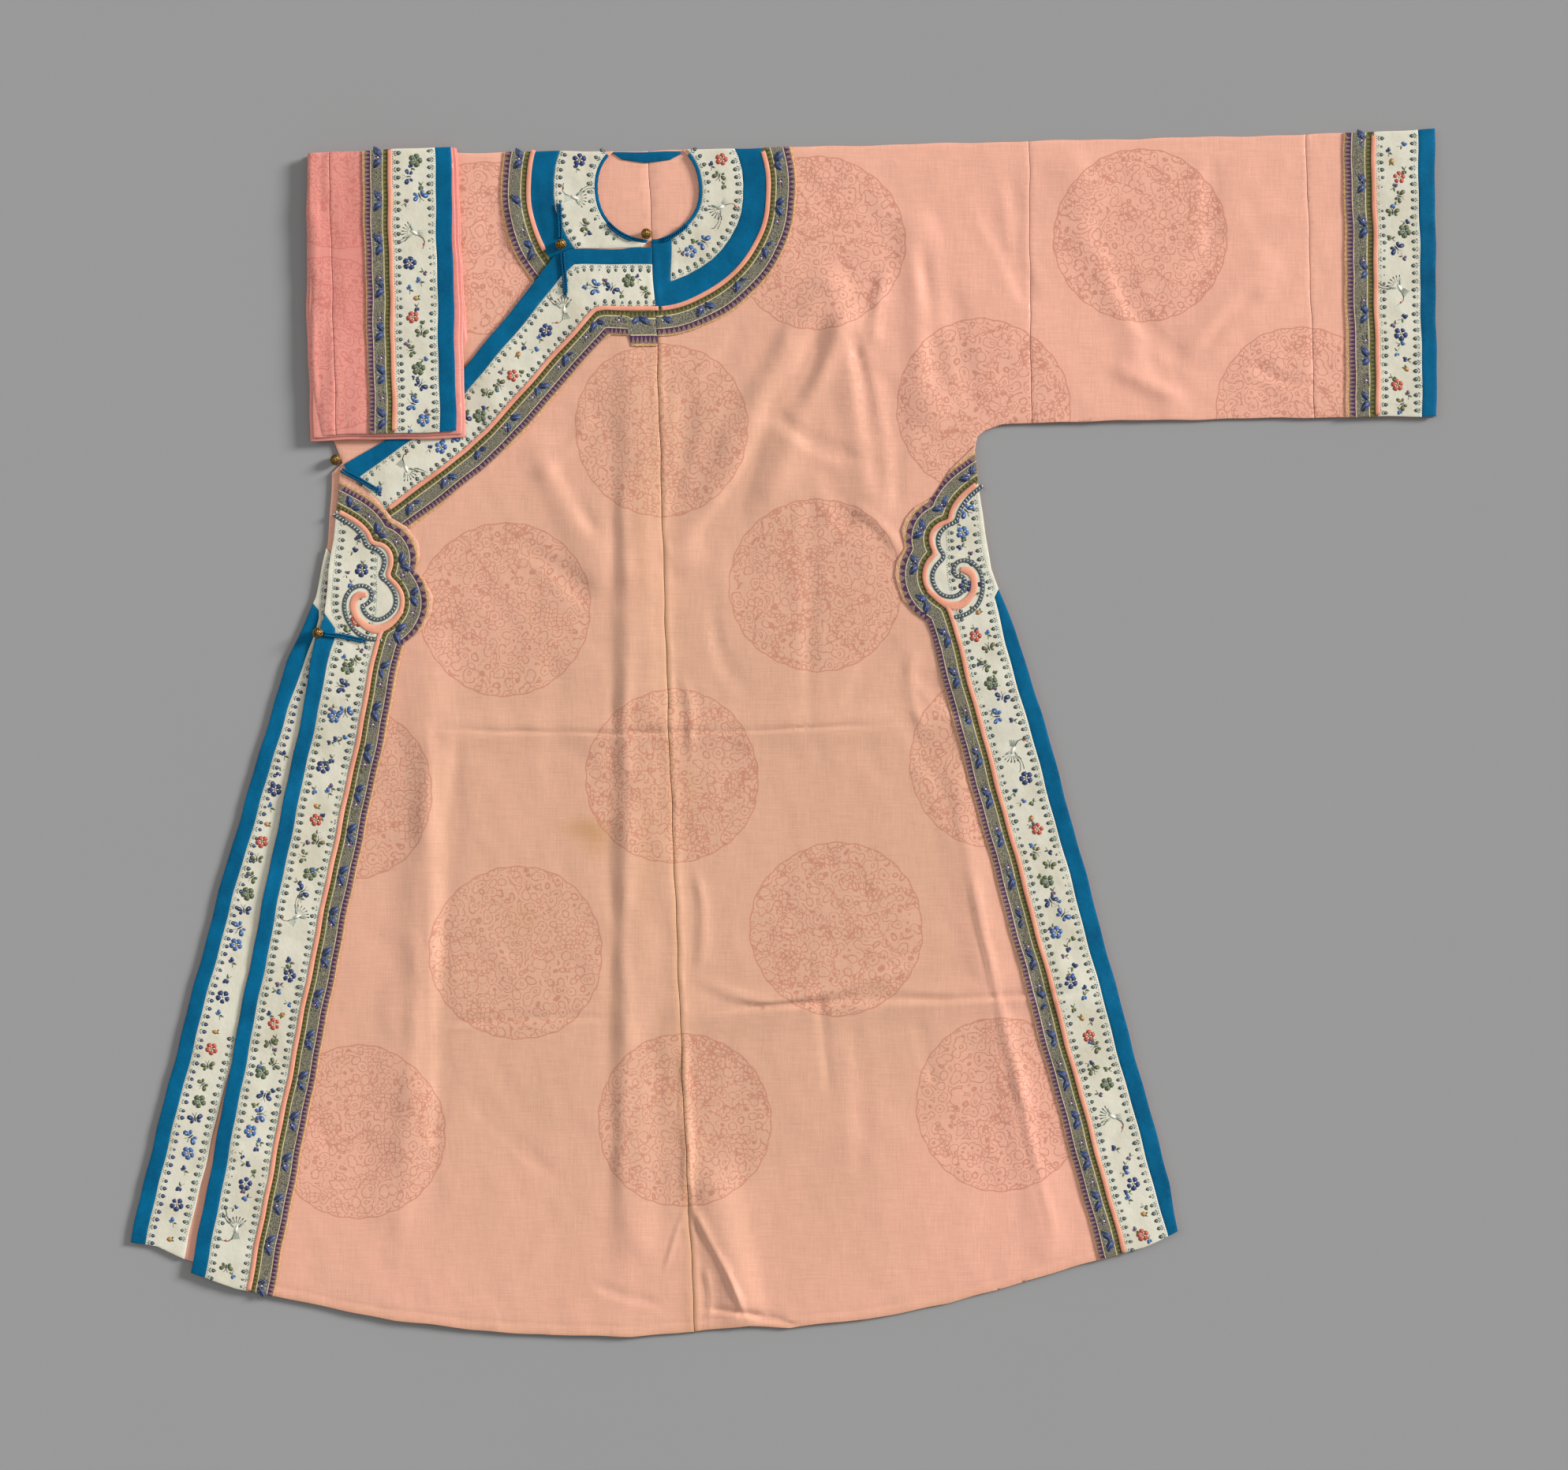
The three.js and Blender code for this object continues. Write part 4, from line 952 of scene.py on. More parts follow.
# Places of the fading: x, y, reach across, reach along, amount
FADING = [
    (-200, -150, 260, 380, 0.9), (60, -120, 200, 300, 0.7), (-60, 300, 160, 140, 0.5),
    (330, 420, 260, 150, -0.5), (240, -400, 90, 160, -0.5), (-290, 470, 60, 60, -0.6),
    (150, 330, 90, 120, -0.1), (-178, -96, 40, 30, 0.5), (215, -60, 60, 160, -0.4),
]

# Places of the stains, in the same way
STAINS = [
    (-181, -88, 22, 9, 0.7), (-172, -102, 13, 11, 0.5), (-132, 180, 10, 60, 0.18), (-128, -100, 9, 90, 0.22),
    (-240, -170, 14, 12, 0.25), (-160, -250, 6, 60, 0.12), (60, 120, 10, 14, 0.12), (-85, -60, 7, 40, 0.2),
]


def soft_places(x, y, places, base):
    amount = np.full(x.shape, base)
    for cx, cy, across, along, share in places:
        amount += share * np.exp(-((x - cx) / across) ** 2 - ((y - cy) / along) ** 2)
    return amount


def stains_and_painted_shade(x, y):
    """Stains, and painted shade: darker lines along the centre seam's groove and the hem's turned edge."""
    away = np.abs(segment_places(x, y, CENTRE_SEAM)[0])
    hem = np.abs(segment_places(x, y, HEM)[0])
    # Painted shade: a narrow dark line in the centre seam's groove over a broader band that darkens towards
    # the seam, and a dark line along the hem's turned edge.
    seam = 0.35 * np.exp(-(away / 3.0) ** 2) + 0.12 * np.exp(-(away / 16) ** 2)
    return soft_places(x, y, STAINS, 0.0) + seam + 0.25 * np.exp(-(hem / 5) ** 2)


def add_silk(name, parts, material, node_names, roundels=True):
    points, faces = joined(parts)
    piece = add_piece(name, points, faces, material, uv=points[:, :2] * MM)
    x, y = points[:, 0], points[:, 1]
    set_value(piece, "roundel", roundel_depth(x, y) if roundels else np.full(len(x), OUTSIDE))
    set_value(piece, "fade", soft_places(x, y, FADING, 0.2))
    # Real stains, with painted shade along the centre seam and the hem.
    set_value(piece, "stain_and_painted_shade", stains_and_painted_shade(x, y))
    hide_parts(*node_names)
    return piece


SHARP = crease_points(FINE)


def upper(name, surface, step, extra=None):
    """A sheet that is cut as a CAD node's upper face is."""
    return sheet_mesh(node_loops(name, UPPER_LAYER), surface, 0, CLOTH, step, extra)


def lower(name):
    """The back's sheet under it, cut as the node's underside is."""
    return sheet_mesh(node_loops(name), back_form, 0, CLOTH, COARSE)


left_half = add_silk("silk_left_half", [upper("left_half", left_front, FINE, SHARP), lower("left_half")],
                     silk_look, ["left_half"])
right_half = add_silk("silk_right_half_and_underlap", [
    upper("right_half_with_underlap", underlap_front, MIDDLING),
    lower("right_half_with_underlap"),
], silk_look, ["right_half_with_underlap"])
overlap = add_silk("silk_overlap", [upper("overlap", overlap_front, FINE, SHARP)], silk_look, ["overlap"])
sleeve_middle, sleeve_end = (
    add_silk("silk_" + name, [upper(name, left_front, FINE), lower(name)], silk_look, [name])
    for name in ("left_sleeve_middle", "left_sleeve_end"))
folded_middle, folded_end = (
    add_silk("silk_" + name, [upper(name, folded_top, CLOSE)], folded_look, [name])
    for name in ("right_sleeve_middle", "right_sleeve_end"))


def hidden_layer(left, right, bottom, floor):
    """One folded layer, its lower two cut away over the lapel."""
    lower_right = [(right - 2, bottom + 3)]
    if floor < HIDDEN_CUT_BELOW:
        lower_right = [(-372, bottom + 1), (-340, 300), (-292, 362)]
    loop = [(left + 4, bottom)] + lower_right + [(right - 4.5, 400), (right - 11, 541), (left + 2, 536),
                                                 (left, 400)]

    def wavy(x, y):
        edge = np.exp(-np.minimum(np.abs(x - left), np.abs(y - bottom)) / 12)
        return floor + 0.35 * edge * (np.sin(y / 17 + floor) + np.sin(x / 13 + 2 * floor))

    return sheet_mesh([np.array(loop, float)], wavy, 0, HIDDEN_THICKNESS, HIDDEN_STEP)


hidden = add_silk("silk_right_sleeve_hidden_layers", [hidden_layer(*row) for row in HIDDEN_LAYERS],
                  folded_look, ["right_sleeve_hidden_layers"], roundels=False)


# Bands

SURFACES = {"collar_left": left_front, "collar_right": underlap_front, "lapel": overlap_front,
            "overlap_side": overlap_front, "left_side": left_front, "underlap_side": underlap_front,
            "left_cuff": left_front, "right_cuff": folded_top}


def surface_of(name):
    """The cloth under a trim, by the start of the trim's name."""
    return SURFACES[name.rsplit("_", 1)[0]]


def sew(surface):
    """A surface with the small puckers that sewing leaves in a trim."""
    def puckered(x, y):
        pucker = np.sin(x / 3.1 + 1.3 * np.sin(y / 9)) + np.sin(y / 3.7 + 1.1 * np.sin(x / 8))
        return surface(x, y) + 0.07 * pucker
    return puckered


def add_band(name, surface, material, guide=None, sign=1, width=RIBBON_WIDTH):
    """A band cut as its CAD node is. A guide gives places along and across it for the ribbon's weave."""
    loops = [moved_in(loop, -GAP / 2) for loop in node_loops(name, TRIM_LAYER)]
    points, faces = sheet_mesh(loops, sew(surface), TRIM_LIFT, TRIM, BAND_STEP)
    uv = points[:, :2] * MM
    if guide is not None:
        signed, along, _ = segment_places(points[:, 0], points[:, 1], guide)
        wide = np.broadcast_to(width(points[:, 0]) if callable(width) else width, signed.shape)
        uv = np.column_stack([along, signed * sign * RIBBON_WIDTH / wide])
    piece = add_piece("trim_" + name, points, faces, material, uv=uv)
    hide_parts(name)


def circle(radius, start, end, step=3.0):
    count = max(2, int(abs(end - start) * math.pi / 180 * radius / step) + 1)
    turn = np.radians(np.linspace(start, end, count))
    return np.stack([NECK[0] + radius * np.cos(turn), NECK[1] + radius * np.sin(turn)], 1)


def beside(edge, distance, below=HEAD_BOTTOM):
    return [(x + distance, y) for x, y in edge if y < below]


overlap_tape = smooth_path(OVERLAP_HEAD["piping"] + beside(OVERLAP_EDGE, OVERLAP_TAPE), PATH_STEP)
left_tape = smooth_path(LEFT_HEAD["piping"] + beside(LEFT_EDGE, -LEFT_TAPE), PATH_STEP)
lapel_tape = smooth_path(LAPEL_TAPE, PATH_STEP, 1)
collar_ring = circle(COLLAR_BLUE_OUT, 140, 400)


def cuff_line(cuff, edge):
    return np.array([(cuff[edge][1], cuff["bottom"]), (cuff[edge][0], cuff["top"])], float)


stretched_tape = cuff_line(STRETCHED_CUFF, "piping")
folded_tape = cuff_line(FOLDED_CUFF, "piping")


def lapel_ribbon_width(x):
    """The lapel's ribbon is wider at its squared end by the centre seam."""
    return np.where(x > -143.5, 35.0, 26.0)


# Ribbons: guide, side of the guide and width
for name, guide, sign, width in [
    ("collar_left_ribbon", collar_ring, -1, 26.1),
    ("collar_right_ribbon", collar_ring, -1, 26.1),
    ("lapel_ribbon", lapel_tape, 1, lapel_ribbon_width),
    ("overlap_side_ribbon", overlap_tape, 1, 24.5),
    ("left_side_ribbon", left_tape, -1, 25.2),
    ("left_cuff_ribbon", stretched_tape, 1, 28.5),
    ("right_cuff_ribbon", folded_tape, 1, 25.0),
]:
    add_band(name, surface_of(name), ribbon_look, guide, sign, width)
for name in ("collar_left_blue", "collar_left_binding", "collar_right_binding", "collar_right_blue",
             "lapel_blue", "overlap_side_blue", "left_side_blue", "underlap_side_blue", "left_cuff_blue",
             "right_cuff_blue"):
    add_band(name, surface_of(name), blue_look)
for name in ("collar_left_cream", "collar_right_cream", "lapel_cream", "overlap_side_cream",
             "left_side_cream", "underlap_side_cream", "left_cuff_cream", "right_cuff_cream"):
    add_band(name, surface_of(name), cream_look)
add_band("back_neck_facing", back_form, blue_look)


# Strips and tubes

def raised_strip(path, widths, height, surface, lift, sides=6):
    """A closed strip with a rounded top, lying on a surface along a path."""
    path = np.asarray(path, float)
    widths = np.broadcast_to(np.asarray(widths, float), (len(path),))
    normals = path_normals(path)
    turns = np.linspace(0, math.pi, sides + 1)
    rings = []
    for turn in turns:
        flat = path + normals * (widths * 0.5 * math.cos(turn))[:, None]
        rise = height * math.sin(turn) ** 0.7 if 0 < turn < math.pi else 0.0
        rings.append(np.column_stack([flat, surface(flat[:, 0], flat[:, 1]) + lift + rise]))
    points = np.stack(rings, 1).reshape(-1, 3)
    around = sides + 1
    faces = []
    for i in range(len(path) - 1):
        for k in range(around):
            on = (k + 1) % around
            faces.append((i * around + k, i * around + on, (i + 1) * around + on, (i + 1) * around + k))
    last = (len(path) - 1) * around
    faces.append(tuple(range(around - 1, -1, -1)))
    faces.append(tuple(last + k for k in range(around)))
    return points, faces


def tube(path, radius, sides=6):
    """A closed round tube along a path in space."""
    path = np.asarray(path, float)
    way = np.gradient(path, axis=0)
    way /= np.linalg.norm(way, axis=1)[:, None] + 1e-12
    side = np.cross(way, (0, 0, 1))
    side /= np.linalg.norm(side, axis=1)[:, None] + 1e-9
    up = np.cross(side, way)
    radii = np.broadcast_to(np.asarray(radius, float), (len(path),))
    turns = np.arange(sides) * 2 * math.pi / sides
    rings = [path + (side * math.cos(t) + up * math.sin(t)) * radii[:, None] for t in turns]
    points = np.stack(rings, 1).reshape(-1, 3)
    faces = []
    for i in range(len(path) - 1):
        for k in range(sides):
            on = (k + 1) % sides
            faces.append((i * sides + k, (i + 1) * sides + k, (i + 1) * sides + on, i * sides + on))
    last = (len(path) - 1) * sides
    faces.append(tuple(range(sides)))
    faces.append(tuple(last + k for k in range(sides - 1, -1, -1)))
    return points, faces


def on_surface(path, surface, lift):
    path = np.asarray(path, float)
    return np.column_stack([path, surface(path[:, 0], path[:, 1]) + lift])


def cut_at_panel(path, loops, distance=0.8):
    """The part of a path that lies on a panel."""
    keep = inside(path, [moved_in(loop, distance) for loop in loops])
    first, last = np.flatnonzero(keep)[[0, -1]]
    return path[first:last + 1]


panel_loops = {
    "left": node_loops("left_half", UPPER_LAYER),
    "overlap": node_loops("overlap", UPPER_LAYER),
    "underlap": node_loops("right_half_with_underlap", UPPER_LAYER),
}


def add_strip(name, rows):
    """Piping in one piece from rows of (path, widths, height)."""
    surface = surface_of(name)
    points, faces = joined([raised_strip(path, widths, height, surface, TAPE_LIFT)
                            for path, widths, height in rows])
    piece = add_piece("trim_" + name, points, faces, piping_look)
    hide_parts(name)


# A head's piping widens where it turns up into the curl, and ends in a round knob
CURL_SHARES = [0, 0.12, 0.36, 0.62, 0.92, 1.0]
CURL_WIDTHS = [4.4, 5.5, 8.3, 5.8, 7.2, 4.2]


def head_piping(head, side_path, loops):
    """Rows for the piping of a side trim and its head."""
    curl = smooth_path(head["piping"][-3:-1] + head["curl"], 1.2)
    knob = curl[-1] + (curl[-1] - curl[-4]) * 0.4
    curl = np.vstack([curl, knob])
    widths = np.interp(np.linspace(0, 1, len(curl)), CURL_SHARES, CURL_WIDTHS)
    return [(cut_at_panel(side_path, loops), PIPING_WIDTH, PIPING_HEIGHT), (curl, widths, CURL_HEIGHT)]


lapel_run = lapel_tape[lapel_tape[:, 0] > -366]
left_ring = circle(COLLAR_BLUE_OUT, *LEFT_PIPING, PATH_STEP)
right_ring = circle(COLLAR_BLUE_OUT, *RIGHT_PIPING, PATH_STEP)
add_strip("overlap_side_piping", head_piping(OVERLAP_HEAD, overlap_tape, panel_loops["overlap"]))
add_strip("left_side_piping", head_piping(LEFT_HEAD, left_tape, panel_loops["left"]))
for name, line in [("lapel_piping", lapel_run), ("collar_left_piping", left_ring),
                   ("collar_right_piping", right_ring), ("left_cuff_piping", smooth_path(stretched_tape)),
                   ("right_cuff_piping", smooth_path(folded_tape))]:
    add_strip(name, [(line, PIPING_WIDTH, PIPING_HEIGHT)])


# Rows made by Geometry Nodes

def row_tree():
    """Copies of a shape along a path: even pitch, a little uneven in size and turn."""
    tree = bpy.data.node_groups.new("Row along a path", "GeometryNodeTree")
    face = tree.interface
    face.new_socket("Path", in_out="INPUT", socket_type="NodeSocketGeometry")
    for name, kind in [("Shape", "Object"), ("Pitch", "Float"), ("Start", "Float"), ("Size", "Float"),
                       ("Size spread", "Float"), ("Turn spread", "Float"), ("Seed", "Int"),
                       ("Thread", "Material")]:
        face.new_socket(name, in_out="INPUT", socket_type="NodeSocket" + kind)
    face.new_socket("Row", in_out="OUTPUT", socket_type="NodeSocketGeometry")
    source = tree.nodes.new("NodeGroupInput").outputs
    trimmed = node(tree, "GeometryNodeTrimCurve", mode="LENGTH")
    tree.links.new(source["Path"], trimmed.inputs["Curve"])
    tree.links.new(source["Start"], trimmed.inputs[4])
    trimmed.inputs[5].default_value = 100.0
    even = node(tree, "GeometryNodeResampleCurve", {"Curve": trimmed.outputs[0]}, mode="LENGTH")
    tree.links.new(source["Pitch"], even.inputs["Length"])
    tangent = node(tree, "GeometryNodeInputTangent").outputs[0]
    facing = node(tree, "FunctionNodeAlignRotationToVector", {"Vector": tangent}, axis="X", pivot_axis="Z")
    spread = times(tree, source["Turn spread"], -1.0)
    turn = node(tree, "FunctionNodeRandomValue", data_type="FLOAT")
    tree.links.new(spread, turn.inputs[2])
    tree.links.new(source["Turn spread"], turn.inputs[3])
    tree.links.new(source["Seed"], turn.inputs["Seed"])
    upright = node(tree, "ShaderNodeCombineXYZ", {2: turn.outputs[1]}).outputs[0]
    local = node(tree, "FunctionNodeEulerToRotation", {0: upright}).outputs[0]
    rotation = node(tree, "FunctionNodeRotateRotation", {0: facing.outputs[0], 1: local},
                    rotation_space="LOCAL")
    size = node(tree, "FunctionNodeRandomValue", data_type="FLOAT")
    tree.links.new(minus(tree, source["Size"], source["Size spread"]), size.inputs[2])
    tree.links.new(plus(tree, source["Size"], source["Size spread"]), size.inputs[3])
    tree.links.new(source["Seed"], size.inputs["Seed"])
    shape = node(tree, "GeometryNodeObjectInfo")
    tree.links.new(source["Shape"], shape.inputs[0])
    copies = node(tree, "GeometryNodeInstanceOnPoints", {"Points": even.outputs[0],
                                                         "Instance": shape.outputs["Geometry"],
                                                         "Rotation": rotation.outputs[0],
                                                         "Scale": size.outputs[1]})
    real = node(tree, "GeometryNodeRealizeInstances", {0: copies.outputs[0]})
    coloured = node(tree, "GeometryNodeSetMaterial", {"Geometry": real.outputs[0]})
    tree.links.new(source["Thread"], coloured.inputs["Material"])
    out = tree.nodes.new("NodeGroupOutput")
    tree.links.new(coloured.outputs[0], out.inputs[0])
    return tree


ROW = row_tree()


def stitched_row(path, shape, pitch, start, size, size_spread, turn_spread, seed, thread):
    """A path with the row's modifier on it, ready to be made into a mesh."""
    curve = bpy.data.curves.new("row", "CURVE")
    curve.dimensions = "3D"
    spline = curve.splines.new("POLY")
    spline.points.add(len(path) - 1)
    for point, place in zip(spline.points, placed(path)):
        point.co = (*place, 1)
    holder = add_object("row", curve)
    modifier = holder.modifiers.new("Row", "NODES")
    modifier.node_group = ROW
    values = {"Shape": shape, "Pitch": pitch * MM, "Start": start * MM, "Size": size,
              "Size spread": size_spread, "Turn spread": turn_spread, "Seed": seed, "Thread": thread}
    for socket in ROW.interface.items_tree:
        if socket.name in values and socket.in_out == "INPUT":
            modifier[socket.identifier] = values[socket.name]
    return holder, thread


ROWS = {}


def make_rows():
    """Every row's plain mesh, joined into one piece for each name."""
    graph = bpy.context.evaluated_depsgraph_get()
    for name, holders in ROWS.items():
        looks, points, faces, slots = [], [], [], []
        for holder, thread in holders:
            mesh = bpy.data.meshes.new_from_object(holder.evaluated_get(graph))
            if thread not in looks:
                looks.append(thread)
            start = len(points)
            points += [tuple(v.co) for v in mesh.vertices]
            faces += [tuple(start + k for k in face.vertices) for face in mesh.polygons]
            slots += [looks.index(thread)] * len(mesh.polygons)
            bpy.data.meshes.remove(mesh)
        whole = bpy.data.meshes.new(name)
        whole.from_pydata(points, [], faces)
        for material in looks:
            whole.materials.append(material)
        whole.polygons.foreach_set("material_index", slots)
        whole.shade_smooth()
        piece = add_object(name, whole)
        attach(piece, "root")
    for holders in ROWS.values():
        for holder, _ in holders:
            curve = holder.data
            bpy.data.objects.remove(holder)
            bpy.data.curves.remove(curve)


# Embroidery

def satin_petal(middle, turn, length, width, point=0.3, rise=0.35):
    """A padded stitch shape: round or pointed at its outer end, closed below. Millimetres."""
    turns = np.arange(8) * math.pi / 4
    along = np.cos(turns) * length / 2
    across = np.sin(turns) * width / 2 * (1 - point * np.cos(turns))
    c, s = math.cos(turn), math.sin(turn)
    ring = np.column_stack([middle[0] + c * along - s * across, middle[1] + s * along + c * across,
                            np.full(8, 0.05)])
    points = np.vstack([ring, [[middle[0], middle[1], rise], [middle[0], middle[1], -0.2]]])
    faces = [(k, (k + 1) % 8, 8) for k in range(8)] + [((k + 1) % 8, k, 9) for k in range(8)]
    return points, faces


def stitch_line(places, width, rise=0.3):
    """A line of stitches: a low three-sided bar along a path."""
    path = np.asarray(places, float)
    normals = path_normals(path)
    flat = np.full((len(path), 1), -0.1)
    left = np.hstack([path + normals * width / 2, flat])
    right = np.hstack([path - normals * width / 2, flat])
    top = np.hstack([path, np.full((len(path), 1), rise)])
    points = np.stack([left, top, right], 1).reshape(-1, 3)
    faces = []
    for i in range(len(path) - 1):
        for k in range(3):
            on = (k + 1) % 3
            faces.append((i * 3 + k, i * 3 + on, i * 3 + 3 + on, i * 3 + 3 + k))
    last = 3 * len(path) - 3
    return points, faces + [(2, 1, 0), (last, last + 1, last + 2)]


def petal(x, y, turn, length, width, size, *form):
    """A satin petal with its place, length and width scaled. form is its point and rise."""
    return satin_petal((x * size, y * size), turn, length * size, width * size, *form)


def flower(colour, heart="white", size=1.0):
    """Five broad petals, each with a stitch of the heart's colour, round a gold middle."""
    parts = []
    for k in range(5):
        turn = k * 2 * math.pi / 5 + 0.3
        half = turn + 0.6
        parts.append((colour, petal(math.cos(turn) * 3.9, math.sin(turn) * 3.9, turn, 5.6, 5.4, size, -0.3)))
        stitch = petal(math.cos(half) * 2.3, math.sin(half) * 2.3, half, 2.8, 1.2, size, 0.0, 0.55)
        parts.append((heart, stitch))
    parts.append(("gold", petal(0, 0, 0, 2.2, 2.2, size, 0, 0.7)))
    return parts


def butterfly(colour, second="pale", size=1.0):
    parts = []
    for side in (-1, 1):
        back = (side < 0) * math.pi
        feeler = [(side * 0.3 * size, 2.2 * size), (side * 1.6 * size, 4.6 * size)]
        parts += [
            (colour, petal(side * 3.2, 1.2, side * 0.5 + back, 5.4, 3.4, size, -0.35)),
            (second, petal(side * 3.4, 1.5, side * 0.5 + back, 2.4, 1.2, size, 0, 0.5)),
            (colour, petal(side * 2.3, -1.5, -side * 0.7 + back, 3.4, 2.4, size, -0.3)),
            ("black", stitch_line(feeler, 0.35)),
        ]
    parts.append(("black", petal(0, 0.2, math.pi / 2, 4.6, 1.1, size, 0, 0.55)))
    return parts


def bud(colour, size):
    return [
        (colour, petal(0, 1.6, math.pi / 2, 3.4, 2.6, size, 0.4)),
        (colour, petal(-1.3, 0.6, 2.2, 2.4, 1.5, size, 0.3)),
        ("green", petal(1.6, -1.2, -0.5, 2.8, 1.3, size, 0.5)),
        ("green", stitch_line([(0, 0), (0.3 * size, -1.8 * size), (0, -3.4 * size)], 0.5)),
    ]


def peach(size):
    return [
        ("gold", petal(0, 0, 0.9, 4.6, 4.0, size, 0.2)),
        ("red", petal(0.9, 0.9, 0.9, 2.0, 2.0, size, 0.2, 0.5)),
        ("green", petal(-2.2, -1.2, 3.6, 2.6, 1.4, size, 0.5)),
        ("green", petal(-0.6, -2.6, 4.9, 2.6, 1.4, size, 0.5)),
    ]


def crane():
    """A flying crane: pale body, fan of dark-tipped tail feathers, long dark legs and a red crown."""
    parts = [
        ("white", satin_petal((0, 0), 1.2, 9, 3.6, 0.3, 0.6)),
        ("sage", satin_petal((4.5, 3), 0.5, 8, 2.2, 0.4, 0.5)),
        ("sage", satin_petal((-4.2, 4), 2.3, 7, 2.0, 0.4, 0.5)),
    ]
    for k in range(7):
        turn = 0.65 + k * 0.3
        tip = (math.cos(turn) * 10.5, 1 + math.sin(turn) * 9.5)
        root = (math.cos(turn) * 4.5, 1 + math.sin(turn) * 4.5)
        middle = ((root[0] + tip[0]) / 2, (root[1] + tip[1]) / 2)
        parts.append(("slate", stitch_line([root, middle, tip], 0.6)))
        parts.append(("black", satin_petal(tip, turn, 2.6, 1.1, 0.3, 0.5)))
    for k in range(5):
        feather = [(-2 + k, -3.5), (-2.6 + 1.3 * k, -7), (-3.4 + 1.7 * k, -9.5)]
        parts.append(("sage", stitch_line(feather, 0.6)))
    parts += [
        ("black", stitch_line([(-2, -5), (-4, -9), (-7, -11), (-9.5, -10.5)], 1.0)),
        ("red", satin_petal((-9.5, -10.4), 3.0, 3.2, 2.2, 0.2, 0.6)),
        ("black", stitch_line([(-10.8, -10.4), (-14, -9.6)], 0.6)),
        ("black", stitch_line([(-5, 6), (-8.5, 12), (-9.5, 18)], 0.6)),
        ("black", stitch_line([(-9.5, 18), (-8, 19.6)], 0.6)),
        ("black", stitch_line([(-6.5, 5), (-10.5, 11), (-12.5, 16)], 0.6)),
    ]
    return parts


def place_motif(parts, place, turn, into):
    """Adds a motif's parts to a piece's lists at a place on a band."""
    c, s = math.cos(turn), math.sin(turn)
    for colour, (points, faces) in parts:
        x = place[0] + c * points[:, 0] - s * points[:, 1]
        y = place[1] + s * points[:, 0] + c * points[:, 1]
        into.append((colour, np.column_stack([x, y, points[:, 2]]), faces))


def add_embroidery(name, parts, surface):
    colours = sorted({colour for colour, _, _ in parts})
    points, faces, slots, start = [], [], [], 0
    for colour, some_points, some_faces in parts:
        points.append(some_points)
        faces += [tuple(start + k for k in face) for face in some_faces]
        slots += [colours.index(colour)] * len(some_faces)
        start += len(some_points)
    points = np.vstack(points)
    points[:, 2] += surface(points[:, 0], points[:, 1]) + BAND_TOP
    return add_piece(name, points, faces, [FLOSS[c] for c in colours], slots=slots)


def shape_object(parts):
    """A small shape for the rows, in metres about its own origin."""
    points, faces = joined(parts)
    mesh = bpy.data.meshes.new("shape")
    mesh.from_pydata((points * MM).tolist(), [], faces)
    return add_object("shape", mesh)


sprig_bud = shape_object([satin_petal((0, 5.0), math.pi / 2, 4.2, 3.7, 0.35)])
sprig_core = shape_object([satin_petal((0, 4.7), math.pi / 2, 2.3, 1.5, 0.2, 0.55)])
sprig_leaves = shape_object([
    stitch_line([(0, 0), (0, 3.4)], 0.5),
    satin_petal((-1.5, 1.9), 2.3, 2.5, 1.0, 0.3),
    satin_petal((1.5, 1.9), 0.84, 2.5, 1.0, 0.3),
])
edge_stitch = shape_object([satin_petal((0, 0), 0, 1.5, 0.8, 0.0, 0.3)])
bead = shape_object([satin_petal((0, 0), 1.2, 3.2, 1.3, 0.0, 0.9)])
cross_stitch = shape_object([satin_petal((0, 0), 1.2, 4.6, 0.9, 0.0, 0.7)])
leaf_pair = shape_object([
    satin_petal((-5.4, 0.6), math.pi - 0.62, 13.0, 7.0, 0.3, 0.4),
    satin_petal((5.4, 0.6), 0.62, 13.0, 7.0, 0.3, 0.4),
])
leaf_veins = shape_object([
    stitch_line([(-8.6, 4.4), (-2.2, -1.6)], 0.6, 0.55),
    stitch_line([(8.6, 4.4), (2.2, -1.6)], 0.6, 0.55),
    satin_petal((-1.9, 3.6), 2.0, 3.4, 1.1, 0, 0.5),
    satin_petal((1.9, 3.6), 1.14, 3.4, 1.1, 0, 0.5),
])
small_petals = shape_object([satin_petal((2.4 * math.cos(t), 2.4 * math.sin(t)), t, 3.2, 2.4, -0.2, 0.4)
                             for t in (0.8, 2.4, 3.9, 5.5)])
small_heart = shape_object([satin_petal((0, 0), 0, 2.0, 2.0, 0, 0.6)])
small_leaves = shape_object([satin_petal((-5.4, 1.8), 2.8, 3.4, 1.7, 0.3, 0.4),
                             satin_petal((5.4, -1.8), -0.3, 3.4, 1.7, 0.3, 0.4),
                             satin_petal((-4.6, -2.4), 3.6, 2.6, 1.6, 0.3, 0.4),
                             satin_petal((4.6, 2.6), 0.5, 2.6, 1.6, 0.3, 0.4)])
shapes = [sprig_bud, sprig_core, sprig_leaves, edge_stitch, bead, cross_stitch, leaf_pair, leaf_veins,
          small_petals, small_heart, small_leaves]

SPRIG_PITCH = 7.4


def vertical(x_top, x_bottom, top, bottom):
    return [(x_top, top), (x_bottom, bottom)]


